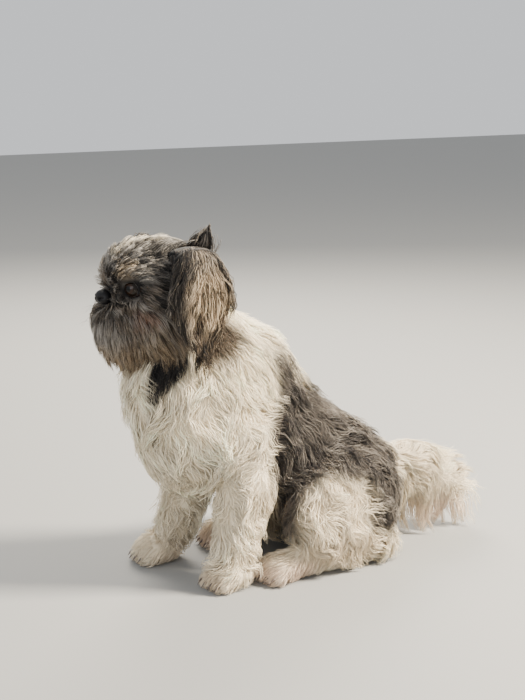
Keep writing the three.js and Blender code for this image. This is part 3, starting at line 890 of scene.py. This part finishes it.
def dress(path, locks, under, length, region, rng):
    """Draws strands together into tapering locks that wave."""
    count, rings = path.shape[:2]
    t = np.linspace(0, 1, rings)[None, :, None]
    drawn = path[locks] + (path[:, :1] - path[locks][:, :1]) * (1 - 0.85 * t)
    loose = np.where(under, UNDER.clump, 1)[:, None, None]
    pull = region["clump"] * t**0.8 * rng.uniform(0.7, 1.25, (count, 1, 1)) * loose
    path = path + (drawn - path) * np.clip(pull, 0, 0.92)
    phase = rng.uniform(0, 6.28, count)[locks] + rng.normal(0, 0.5, count)
    turn = phase[:, None] + t[:, :, 0] * (length * 2 * math.pi / region["wave"])[:, None]
    tangent = unit(path[:, -1] - path[:, 0])
    _, out, _ = slope(SKIN, path[:, 0])
    across = unit(np.cross(tangent, out))
    width = region["curl"] * np.minimum(1, 1.8 * t[:, :, 0])
    path = path + (np.sin(turn) * width)[:, :, None] * across[:, None, :]
    path = path + (np.cos(turn) * width * 0.5)[:, :, None] * out[:, None, :]
    return path + rng.normal(0, 0.3, path.shape) * t * region["curl"]


# A strand's width from its root on, its thickness over its width, and its brightness at root, end and tip:
# painted shade at the root, painted light at the end and tip
BLADE = np.array((0.8, 1.0, 0.95, 0.8, 0.5))
THICKNESS = 0.55
ROOT_SHADE = 0.8
END_SHADE = 1.04
TIP_SHADE = 1.08

# Width of a strand's own patch on the unwrap
UV_PATCH = 0.0015


def strands(name, path, width, colours, uv):
    """Closed tapering blades of three sides along each path."""
    count, rings = path.shape[0], path.shape[1] - 1
    tangent = unit(np.gradient(path, axis=1))
    _, out, _ = slope(SKIN, path[:, 0])
    side = unit(np.cross(tangent, out[:, None, :]))
    up = np.cross(side, tangent)
    angles = np.array((90, 210, 330)) * math.pi / 180
    edges = len(angles)
    taper = np.interp(np.linspace(0, 1, rings + 1)[:-1], np.linspace(0, 0.9, len(BLADE)), BLADE)
    half = (width[:, None] * taper[None] / 2)[:, :, None, None]
    ring = side[:, :-1, None, :] * np.cos(angles)[None, None, :, None]
    ring = ring + up[:, :-1, None, :] * np.sin(angles)[None, None, :, None] * THICKNESS
    points = path[:, :-1, None, :] + ring * half
    points = np.concatenate((points.reshape(count, rings * edges, 3), path[:, -1:, :]), 1)
    points[:, :, 2] = np.maximum(points[:, :, 2], HAIR_LEVEL)
    size = rings * edges + 1
    base = (np.arange(count) * size)[:, None]
    quads = []
    for here in range(0, (rings - 1) * edges, edges):
        there = here + edges
        for a in range(edges):
            b = (a + 1) % edges
            quads.append((here + a, here + b, there + b, there + a))
    last = (rings - 1) * edges
    tris = [(last + a, last + (a + 1) % edges, size - 1) for a in range(edges)] + [(2, 1, 0)]
    quads = (base[:, None, :] + np.array(quads)[None]).reshape(-1, 4)
    tris = (base[:, None, :] + np.array(tris)[None]).reshape(-1, 3)
    # Painted shade darkens each strand at its root and painted light brightens its end and tip
    shade = np.append(np.repeat(np.linspace(ROOT_SHADE, END_SHADE, rings), edges), TIP_SHADE)
    rgb = np.concatenate((np.repeat(colours[:, :-1], edges, 1), colours[:, -1:]), 1)
    rgb = rgb * shade[None, :, None]
    mesh = make_mesh(name, points.reshape(-1, 3), [quads, tris], np.clip(rgb, 0, 1).reshape(-1, 3))
    patch = UV_PATCH * np.stack((np.cos(np.arange(size) * 2.1), np.linspace(-1, 1, size)), 1)
    patch = np.clip(uv[:, None, :] + patch[None], 0, 1).reshape(-1, 2)
    corner = np.concatenate((quads.ravel(), tris.ravel()))
    layer = mesh.uv_layers.new(name=UV_MAP)
    layer.data.foreach_set("uv", patch[corner].astype(np.float32).ravel())
    return mesh


# Materials


def new_material(name):
    material = bpy.data.materials.new(name)
    material.use_nodes = True
    return material, material.node_tree, material.node_tree.nodes["Principled BSDF"]


def coat_material(name, roughness, sheen, glow=0.0):
    """A surface in the colours of its points, with some light let through where it glows."""
    material, tree, shader = new_material(name)
    colour = tree.nodes.new("ShaderNodeAttribute")
    colour.attribute_name = COLOUR_LAYER
    tree.links.new(colour.outputs["Color"], shader.inputs["Base Color"])
    shader.inputs["Roughness"].default_value = roughness
    shader.inputs["Specular IOR Level"].default_value = 0.15
    shader.inputs["Sheen Weight"].default_value = sheen
    shader.inputs["Subsurface Weight"].default_value = glow
    shader.inputs["Subsurface Radius"].default_value = (1.0, 0.8, 0.6)
    shader.inputs["Subsurface Scale"].default_value = 0.003
    return material


def nose_material(colour):
    """Damp leather with a fine grain."""
    material, tree, shader = new_material("nose_leather")
    place = tree.nodes.new("ShaderNodeTexCoord")
    grain = tree.nodes.new("ShaderNodeTexVoronoi")
    grain.inputs["Scale"].default_value = 900
    bump = tree.nodes.new("ShaderNodeBump")
    bump.inputs["Strength"].default_value = 0.35
    bump.inputs["Distance"].default_value = 0.0004
    tree.links.new(place.outputs["Object"], grain.inputs["Vector"])
    tree.links.new(grain.outputs["Distance"], bump.inputs["Height"])
    tree.links.new(bump.outputs["Normal"], shader.inputs["Normal"])
    shader.inputs["Base Color"].default_value = (*colour, 1)
    shader.inputs["Roughness"].default_value = 0.48
    shader.inputs["Specular IOR Level"].default_value = 0.22
    return material


def eye_material():
    material = coat_material("eyeball", 0.12, 0.0)
    shader = material.node_tree.nodes["Principled BSDF"]
    shader.inputs["Specular IOR Level"].default_value = 0.25
    return material


def plain_material(name, colour, roughness):
    material, _, shader = new_material(name)
    shader.inputs["Base Color"].default_value = (*colour, 1)
    shader.inputs["Roughness"].default_value = roughness
    return material


# Pieces


def unwrap(piece):
    """An unwrap of the skin's own shape, kept under the name in UV_MAP."""
    bpy.ops.object.select_all(action="DESELECT")
    bpy.context.view_layer.objects.active = piece
    piece.select_set(True)
    piece.data.uv_layers.new(name=UV_MAP)
    bpy.ops.object.mode_set(mode="EDIT")
    bpy.ops.mesh.select_all(action="SELECT")
    bpy.ops.uv.smart_project(angle_limit=math.radians(66), island_margin=0.002)
    bpy.ops.object.mode_set(mode="OBJECT")


# The CAD nodes that the skin stands for, and a box round it
PAIRED = ("ear", "foreleg", "forepaw", "thigh", "hindpaw")
FLESH = ["head", "neck", "torso", "rump", "tail"]
FLESH += [f"{part}_{side}" for part in PAIRED for side in ("left", "right")]
SKIN_BOX = ((-320, -125, -6), (192, 125, 404))


def build_skin(cell, paint):
    points, faces = net(SKIN, *SKIN_BOX, cell)
    points[:, 2] = np.maximum(points[:, 2], SKIN_LEVEL)
    mesh = make_mesh("skin", points, faces, np.clip(skin_colour(points, paint), 0, 1))
    unwrap(add_piece(mesh, coat_material("skin", 0.8, 0.1), FLESH))


# Angles off the gaze, in radians, between which pupil, iris and white of the eye turn into each other
PUPIL_EDGE = (0.3, 0.36)
IRIS_RIM = (0.5, 0.7)
WHITE_EDGE = (1.0, 1.15)
PUPIL_COLOUR = vec(0.003, 0.003, 0.003)
RIM_COLOUR = vec(0.007, 0.004, 0.002)
EYEWHITE_COLOUR = vec(0.05, 0.035, 0.03)


def build_eyes(paint):
    margin = 3
    points = []
    faces = []
    colours = []
    start = 0
    for side in SIDES:
        look = gaze(side)
        eye = ball(eye_at(side), (EYE_R,) * 3)
        cornea = ball(eye_at(side) + look * 3.4, (7.4,) * 3)
        form = blend(1.5, eye, cornea)
        low = eye_at(side) - EYE_R - margin
        p, f = net(form, low, low + 2 * EYE_R + 2 * margin, 0.6)
        angle = np.arccos(np.clip(unit(p - eye_at(side)) @ unit(look), -1, 1))
        iris = mix(paint.iris, RIM_COLOUR, smooth(angle, *IRIS_RIM)[:, None])
        colour = mix(PUPIL_COLOUR, iris, smooth(angle, *PUPIL_EDGE)[:, None])
        colour = mix(colour, EYEWHITE_COLOUR, smooth(angle, *WHITE_EDGE)[:, None])
        points.append(p)
        faces.append(f + start)
        colours.append(colour)
        start += len(p)
    mesh = make_mesh("eyes", np.concatenate(points), np.concatenate(faces), np.concatenate(colours))
    add_piece(mesh, eye_material(), ["eye_left", "eye_right"])


def build_nose(paint):
    """Two pads with a groove between them, each with a nostril and the slit beside it."""
    pads = [ball(NOSE_AT, (8.0, 10.6, 8.0))]
    for side in SIDES:
        pads.append(ball(NOSE_AT + vec(-0.5, 5.6 * side, -1.5), (6.2, 5.2, 5.2)))
    form = blend(4, *pads)
    for side in SIDES:
        nostril = ball(NOSE_AT + vec(-7.5, 5.2 * side, -1.5), (4.2, 2.0, 2.2))
        slit = bone(NOSE_AT + vec(-7, 6 * side, -1), NOSE_AT + vec(-4, 11 * side, 1.5), 1.1, 0.8)
        form = carve(1.2, carve(1.2, form, nostril), slit)
    groove = bone(NOSE_AT + vec(-9.6, 0, 2), NOSE_AT + vec(-8.5, 0, -9), 0.6, 0.8)
    form = carve(1.0, form, groove)
    points, faces = net(form, NOSE_AT - 14, NOSE_AT + 14, 0.5)
    mesh = make_mesh("nose_leather", points, faces)
    add_piece(mesh, nose_material(paint.nose), ["nose"])


def sweep_tree(name, sides, material):
    """Geometry Nodes that turn edges with a thickness into tapering tubes."""
    tree = bpy.data.node_groups.new(name, "GeometryNodeTree")
    tree.interface.new_socket("Geometry", in_out="INPUT", socket_type="NodeSocketGeometry")
    thick = tree.interface.new_socket("Thickness", in_out="INPUT", socket_type="NodeSocketFloat")
    tree.interface.new_socket("Geometry", in_out="OUTPUT", socket_type="NodeSocketGeometry")
    node = tree.nodes.new
    entry = node("NodeGroupInput")
    leave = node("NodeGroupOutput")
    to_curve = node("GeometryNodeMeshToCurve")
    share = node("GeometryNodeInputNamedAttribute")
    share.data_type = "FLOAT"
    share.inputs["Name"].default_value = "thickness"
    times = node("ShaderNodeMath")
    times.operation = "MULTIPLY"
    set_radius = node("GeometryNodeSetCurveRadius")
    radius = node("GeometryNodeInputRadius")
    circle = node("GeometryNodeCurvePrimitiveCircle")
    circle.inputs["Resolution"].default_value = sides
    circle.inputs["Radius"].default_value = 1.0
    to_mesh = node("GeometryNodeCurveToMesh")
    to_mesh.inputs["Fill Caps"].default_value = True
    realize = node("GeometryNodeRealizeInstances")
    paint = node("GeometryNodeSetMaterial")
    paint.inputs["Material"].default_value = material
    link = tree.links.new
    link(entry.outputs["Geometry"], to_curve.inputs["Mesh"])
    link(share.outputs["Attribute"], times.inputs[0])
    link(entry.outputs["Thickness"], times.inputs[1])
    link(times.outputs["Value"], set_radius.inputs["Radius"])
    link(to_curve.outputs["Curve"], set_radius.inputs["Curve"])
    link(set_radius.outputs["Curve"], to_mesh.inputs["Curve"])
    link(circle.outputs["Curve"], to_mesh.inputs["Profile Curve"])
    link(radius.outputs["Radius"], to_mesh.inputs["Scale"])
    link(to_mesh.outputs["Mesh"], realize.inputs["Geometry"])
    link(realize.outputs["Geometry"], paint.inputs["Geometry"])
    link(paint.outputs["Geometry"], leave.inputs["Geometry"])
    return tree, thick.identifier


def sweep(name, lines, taper, thickness, sides, material):
    """Tapering tubes along lines of points in millimetres, made by Geometry Nodes."""
    points = np.concatenate(lines)
    edges = []
    start = 0
    for line in lines:
        edges += [(start + i, start + i + 1) for i in range(len(line) - 1)]
        start += len(line)
    mesh = bpy.data.meshes.new(name)
    mesh.from_pydata((points * MM).tolist(), edges, [])
    layer = mesh.attributes.new("thickness", "FLOAT", "POINT")
    widths = [taper(np.linspace(0, 1, len(line))) for line in lines]
    layer.data.foreach_set("value", np.concatenate(widths))
    carrier = bpy.data.objects.new(name + "_lines", mesh)
    bpy.context.scene.collection.objects.link(carrier)
    modifier = carrier.modifiers.new("sweep", "NODES")
    tree, socket = sweep_tree(name + "_nodes", sides, material)
    modifier.node_group = tree
    modifier[socket] = thickness * MM
    bpy.context.view_layer.update()
    solid = bpy.data.meshes.new_from_object(carrier.evaluated_get(bpy.context.evaluated_depsgraph_get()))
    solid.name = name
    bpy.data.objects.remove(carrier)
    solid.polygons.foreach_set("use_smooth", np.ones(len(solid.polygons), bool))
    return solid


def build_claws(paint):
    lines = []
    for side in SIDES:
        for at, size, turn in PAWS:
            for _, end, forward in toes(at(side), size, turn * side):
                root = end + forward * size * 0.16 + vec(0, 0, 1.5)
                bend = root + forward * 5 + vec(0, 0, 0.2)
                tip = root + forward * 9.5 - vec(0, 0, min(5.0, root[2] - 2.2))
                lines.append(curve_at(np.array((root, bend, tip)), np.linspace(0, 1, 6)))
    material = plain_material("claws", paint.claws, 0.35)
    mesh = sweep("claws", lines, lambda t: np.maximum(1 - t**1.6, 0.12), 1.9, 10, material)
    add_piece(mesh, material)


# Whiskers and lashes on each side; the lashes' places round the lid are angles from its top, in degrees
WHISKERS = 9
LASHES = 13
FIRST_LASH = -62
LASH_STEP = 10.4


def whisker(side, rng):
    place = in_head(-56 + rng.uniform(-4, 10), side * rng.uniform(14, 24), rng.uniform(-40, -26))
    root = settle(FACE, place[None], -1.0)[0]
    way = unit(vec(-0.25 + rng.uniform(-0.3, 0.3), side * 1.0, rng.uniform(-0.5, 0.1)))
    reach = rng.uniform(22, 34)
    middle = root + way * reach * 0.5
    tip = root + way * reach - vec(0, 0, reach * 0.25)
    return curve_at(np.array((root, middle, tip)), np.linspace(0, 1, 7))


def lash(side, turn):
    look = gaze(side)
    across = unit(np.cross(look, (0, 0, 1)))
    rim = across * math.sin(turn) * EYE_R * 0.95 + vec(0, 0, math.cos(turn) * EYE_R * 0.8)
    root = eye_at(side) + look * EYE_R * 0.55 + rim
    tip = root + look * 6 + rim * 0.35 + vec(0, 0, 1.5)
    middle = (root + tip) / 2 - vec(0, 0, 0.8)
    return curve_at(np.array((root, middle, tip)), np.linspace(0, 1, 5))


def build_whiskers(seed):
    rng = np.random.default_rng(seed)
    lines = []
    for side in SIDES:
        lines += [whisker(side, rng) for _ in range(WHISKERS)]
        lines += [lash(side, math.radians(FIRST_LASH + i * LASH_STEP)) for i in range(LASHES)]
    material = plain_material("whiskers", (0.03, 0.026, 0.024), 0.4)
    mesh = sweep("whiskers", lines, lambda t: np.maximum(1 - t, 0.1), 0.22, 5, material)
    add_piece(mesh, material)


# How deep a strand's root sits in the skin
ROOT_DEPTH = 0.8


def build_coat(name, settings, paint):
    """Grows a region of the coat: roots, locks, paths, shades and then the strands themselves."""
    region = dict(REGIONS[name])
    region["count"] = int(region["count"] * settings.fullness)
    rng = np.random.default_rng(settings.seed + list(REGIONS).index(name))
    roots, uv = scatter(bpy.data.objects["skin"].data, region, rng)
    count = len(roots)
    locks = find_locks(roots, region, rng)
    length = value_at(region["length"], roots) * settings.length
    shortest = region.get("ragged", 0.8)
    length = length * rng.uniform(shortest, 1.15, count)[locks] * rng.uniform(0.8, 1.1, count)
    depth = region["tip"] * rng.uniform(0.3, 1.0, count)[locks] ** 0.6 * rng.uniform(0.6, 1.0, count)
    under = rng.random(count) < UNDER.share
    depth = depth * np.where(under, UNDER.depth, 1)
    path = dress(march(roots, region, length, depth), locks, under, length, region, rng)
    path[:, 1:, 2] = np.maximum(path[:, 1:, 2], SKIN_LEVEL)
    path[:, 0] -= slope(SKIN, roots)[1] * ROOT_DEPTH
    spread = region["tone"]
    tone = np.exp(rng.normal(0, spread, count)[locks] * 0.8 + rng.normal(0, spread, count) * 0.7)
    # Painted shade: where the tone spreads more than 0.2 (face, ears and tufts) the short hair under the
    # coat is darkened
    tone = np.minimum(tone, 1.25) * np.where(under & (spread > 0.2), UNDER.shade, 1)
    middle = region["colour"](path[:, region["steps"] * 2 // 3], paint)[:, None]
    there = region["colour"](path.reshape(-1, 3), paint).reshape(path.shape)
    colours = mix(middle, there, region.get("along", 0.6)) * tone[:, None, None]
    width = region["width"] * settings.width * rng.uniform(0.6, 1.25, count)
    material = coat_material("coat_" + name, 0.7, 0.05, 0.12)
    for part in range(region["pieces"]):
        label = f"coat_{name}_{part + 1}" if region["pieces"] > 1 else "coat_" + name
        share = slice(part, None, region["pieces"])
        mesh = strands(label, path[share], width[share], colours[share], uv[share])
        add_piece(mesh, material)


# Stage


# The photo's camera: its turn and pitch, its place from the dog's stance, and its focal length in pixels
CAMERA_TURN = math.radians(30)
CAMERA_PITCH = math.atan(313 / 1500)
CAMERA_HEIGHT = 600
CAMERA_REACH = 1640
CAMERA_ASIDE = -60.7
STANCE_X = -165
FOCAL_PX = 1500
IMAGE_PX = (525, 700)


def build_camera():
    ahead = vec(math.sin(CAMERA_TURN), math.cos(CAMERA_TURN), 0)
    aside = vec(math.cos(CAMERA_TURN), -math.sin(CAMERA_TURN), 0)
    place = vec(STANCE_X, 0, CAMERA_HEIGHT) - ahead * CAMERA_REACH - aside * CAMERA_ASIDE
    look = ahead * math.cos(CAMERA_PITCH) - vec(0, 0, math.sin(CAMERA_PITCH))
    data = bpy.data.cameras.new("camera")
    data.sensor_fit = "VERTICAL"
    data.sensor_height = 24
    data.lens = data.sensor_height * FOCAL_PX / IMAGE_PX[1]
    data.clip_start = 0.05
    camera = bpy.data.objects.new("camera", data)
    bpy.context.scene.collection.objects.link(camera)
    camera.location = Vector(place * MM)
    camera.rotation_euler = Vector(look).to_track_quat("-Z", "Y").to_euler()
    bpy.context.scene.camera = camera


def add_lamp(name, at, size, power, colour):
    data = bpy.data.lights.new(name, "AREA")
    data.size = size
    data.energy = power
    data.color = colour
    lamp = bpy.data.objects.new(name, data)
    bpy.context.scene.collection.objects.link(lamp)
    lamp.location = Vector(at)
    lamp.rotation_euler = (Vector(LAMP_AIM) - Vector(at)).to_track_quat("-Z", "Y").to_euler()


# Floor and lamps in metres: each lamp's name, place, width, watts and colour
FLOOR_HALF = 6.0
FLOOR_LEVEL = -0.0005
LAMP_AIM = (-0.08, 0, 0.18)
LAMPS = (
    ("key", (1.25, -1.0, 1.6), 0.5, 260, (1.0, 0.90, 0.75)),
    ("fill", (-1.6, -1.2, 0.9), 1.4, 18, (0.94, 0.96, 1.0)),
    ("back", (0.6, 1.5, 1.4), 1.0, 75, (1.0, 0.92, 0.80)),
)


def build_stage():
    mesh = bpy.data.meshes.new("floor")
    square = ((-1, -1), (1, -1), (1, 1), (-1, 1))
    corners = [(x * FLOOR_HALF, y * FLOOR_HALF, FLOOR_LEVEL) for x, y in square]
    mesh.from_pydata(corners, [], [(0, 1, 2, 3)])
    mesh.materials.append(plain_material("floor", (0.30, 0.30, 0.29), 0.85))
    floor = bpy.data.objects.new("floor", mesh)
    bpy.context.scene.collection.objects.link(floor)
    world = bpy.data.worlds.new("studio")
    world.use_nodes = True
    backdrop = world.node_tree.nodes["Background"]
    backdrop.inputs["Color"].default_value = (0.88, 0.90, 0.93, 1)
    backdrop.inputs["Strength"].default_value = 0.9
    bpy.context.scene.world = world
    for name, at, size, power, colour in LAMPS:
        add_lamp(name, at, size, power, colour)


# Add-on


def colour_setting(name, use, value):
    return FloatVectorProperty(name=name, description=use, default=value, min=0, max=1, subtype="COLOR")


def share_setting(name, use, low, high):
    return FloatProperty(name=name, description=use, default=1.0, min=low, max=high, subtype="FACTOR")


class DogColours(bpy.types.PropertyGroup):
    """Colours of the coat, eyes, nose and claws"""

    white: colour_setting("White", "Bib, legs and tail", (0.91, 0.80, 0.60))
    cream: colour_setting("Cream", "Tinge of the white coat, and the brow", (0.56, 0.43, 0.28))
    tan: colour_setting("Tan", "Brown in ears, cheeks and neck", (0.18, 0.125, 0.078))
    silver: colour_setting("Silver", "Light strands in saddle, head and beard", (0.23, 0.21, 0.185))
    grey: colour_setting("Grey", "Saddle and face", (0.074, 0.063, 0.053))
    dark: colour_setting("Dark", "Mask, tuft, throat and edges of the ears", (0.008, 0.007, 0.007))
    rust: colour_setting("Rust", "Stain on the cheeks", (0.24, 0.085, 0.045))
    pink: colour_setting("Pink", "Tinge of the paws and the end of the tail", (0.55, 0.36, 0.28))
    iris: colour_setting("Iris", "Iris of the eyes", (0.018, 0.008, 0.004))
    nose: colour_setting("Nose", "Leather of the nose", (0.006, 0.0055, 0.006))
    claws: colour_setting("Claws", "Horn of the claws", (0.10, 0.075, 0.06))


class DogSettings(bpy.types.PropertyGroup):
    """Sizes and colours of the dog's skin and coat"""

    cell: FloatProperty(name="Skin cell", description="Width of the skin's net", default=0.0022, min=0.001,
                        unit="LENGTH", subtype="DISTANCE")
    fullness: share_setting("Fullness", "Share of the full number of strands", 0.01, 1.0)
    length: share_setting("Hair length", "Length of the strands against this dog's own", 0.3, 1.2)
    width: share_setting("Hair width", "Width of the strands against this dog's own", 0.3, 2.0)
    seed: IntProperty(name="Seed", description="Start of the random numbers of the coat", default=7, min=0)
    colours: PointerProperty(type=DogColours)


def read_colours(context):
    """The settings' colours as arrays, each under its name."""
    colours = context.scene.dog.colours
    return SimpleNamespace(**{name: vec(*getattr(colours, name)) for name in DogColours.__annotations__})


class DOG_OT_skin(bpy.types.Operator):
    """Build the skin with its folds, lids, lips and ears"""

    bl_idname = "dog.skin"
    bl_label = "Skin"

    def execute(self, context):
        build_skin(context.scene.dog.cell / MM, read_colours(context))
        return {"FINISHED"}


class DOG_OT_eyes(bpy.types.Operator):
    """Build both eyes"""

    bl_idname = "dog.eyes"
    bl_label = "Eyes"

    def execute(self, context):
        build_eyes(read_colours(context))
        return {"FINISHED"}


class DOG_OT_nose(bpy.types.Operator):
    """Build the nose with its nostrils"""

    bl_idname = "dog.nose"
    bl_label = "Nose"

    def execute(self, context):
        build_nose(read_colours(context))
        return {"FINISHED"}


class DOG_OT_claws(bpy.types.Operator):
    """Build the claws of the four paws"""

    bl_idname = "dog.claws"
    bl_label = "Claws"

    def execute(self, context):
        build_claws(read_colours(context))
        return {"FINISHED"}


class DOG_OT_whiskers(bpy.types.Operator):
    """Build the whiskers and lashes"""

    bl_idname = "dog.whiskers"
    bl_label = "Whiskers and lashes"

    def execute(self, context):
        build_whiskers(context.scene.dog.seed)
        return {"FINISHED"}


class DOG_OT_coat(bpy.types.Operator):
    """Grow one region of the coat on the skin"""

    bl_idname = "dog.coat"
    bl_label = "Coat"

    region: EnumProperty(
        name="Region",
        description="Part of the body to cover",
        items=[(name, name.capitalize(), "Coat of the " + name) for name in REGIONS],
    )

    def execute(self, context):
        if "skin" not in bpy.data.objects:
            raise RuntimeError("the coat grows on the skin, which isn't built yet")
        build_coat(self.region, context.scene.dog, read_colours(context))
        return {"FINISHED"}


class DOG_OT_stage(bpy.types.Operator):
    """Build the floor, lamps and camera"""

    bl_idname = "dog.stage"
    bl_label = "Stage"

    def execute(self, context):
        build_stage()
        build_camera()
        return {"FINISHED"}


class DOG_PT_panel(bpy.types.Panel):
    """Settings and pieces of the dog"""

    bl_idname = "DOG_PT_panel"
    bl_label = "Dog"
    bl_space_type = "VIEW_3D"
    bl_region_type = "UI"
    bl_category = "Dog"

    def draw(self, context):
        for name in ("cell", "fullness", "length", "width", "seed"):
            self.layout.prop(context.scene.dog, name)
        for name in DogColours.__annotations__:
            self.layout.prop(context.scene.dog.colours, name)
        for name in ("skin", "eyes", "nose", "claws", "whiskers"):
            self.layout.operator("dog." + name)
        for region in REGIONS:
            self.layout.operator("dog.coat", text=region.capitalize()).region = region
        self.layout.operator("dog.stage")


CLASSES = (
    DogColours,
    DogSettings,
    DOG_OT_skin,
    DOG_OT_eyes,
    DOG_OT_nose,
    DOG_OT_claws,
    DOG_OT_whiskers,
    DOG_OT_coat,
    DOG_OT_stage,
    DOG_PT_panel,
)


def register():
    for cls in CLASSES:
        bpy.utils.register_class(cls)
    bpy.types.Scene.dog = PointerProperty(type=DogSettings)


def unregister():
    del bpy.types.Scene.dog
    for cls in reversed(CLASSES):
        bpy.utils.unregister_class(cls)


def main():
    register()
    bpy.ops.dog.skin()
    bpy.ops.dog.eyes()
    bpy.ops.dog.nose()
    bpy.ops.dog.claws()
    bpy.ops.dog.whiskers()
    for region in REGIONS:
        bpy.ops.dog.coat(region=region)
    bpy.ops.dog.stage()


if __name__ == "__main__":
    main()
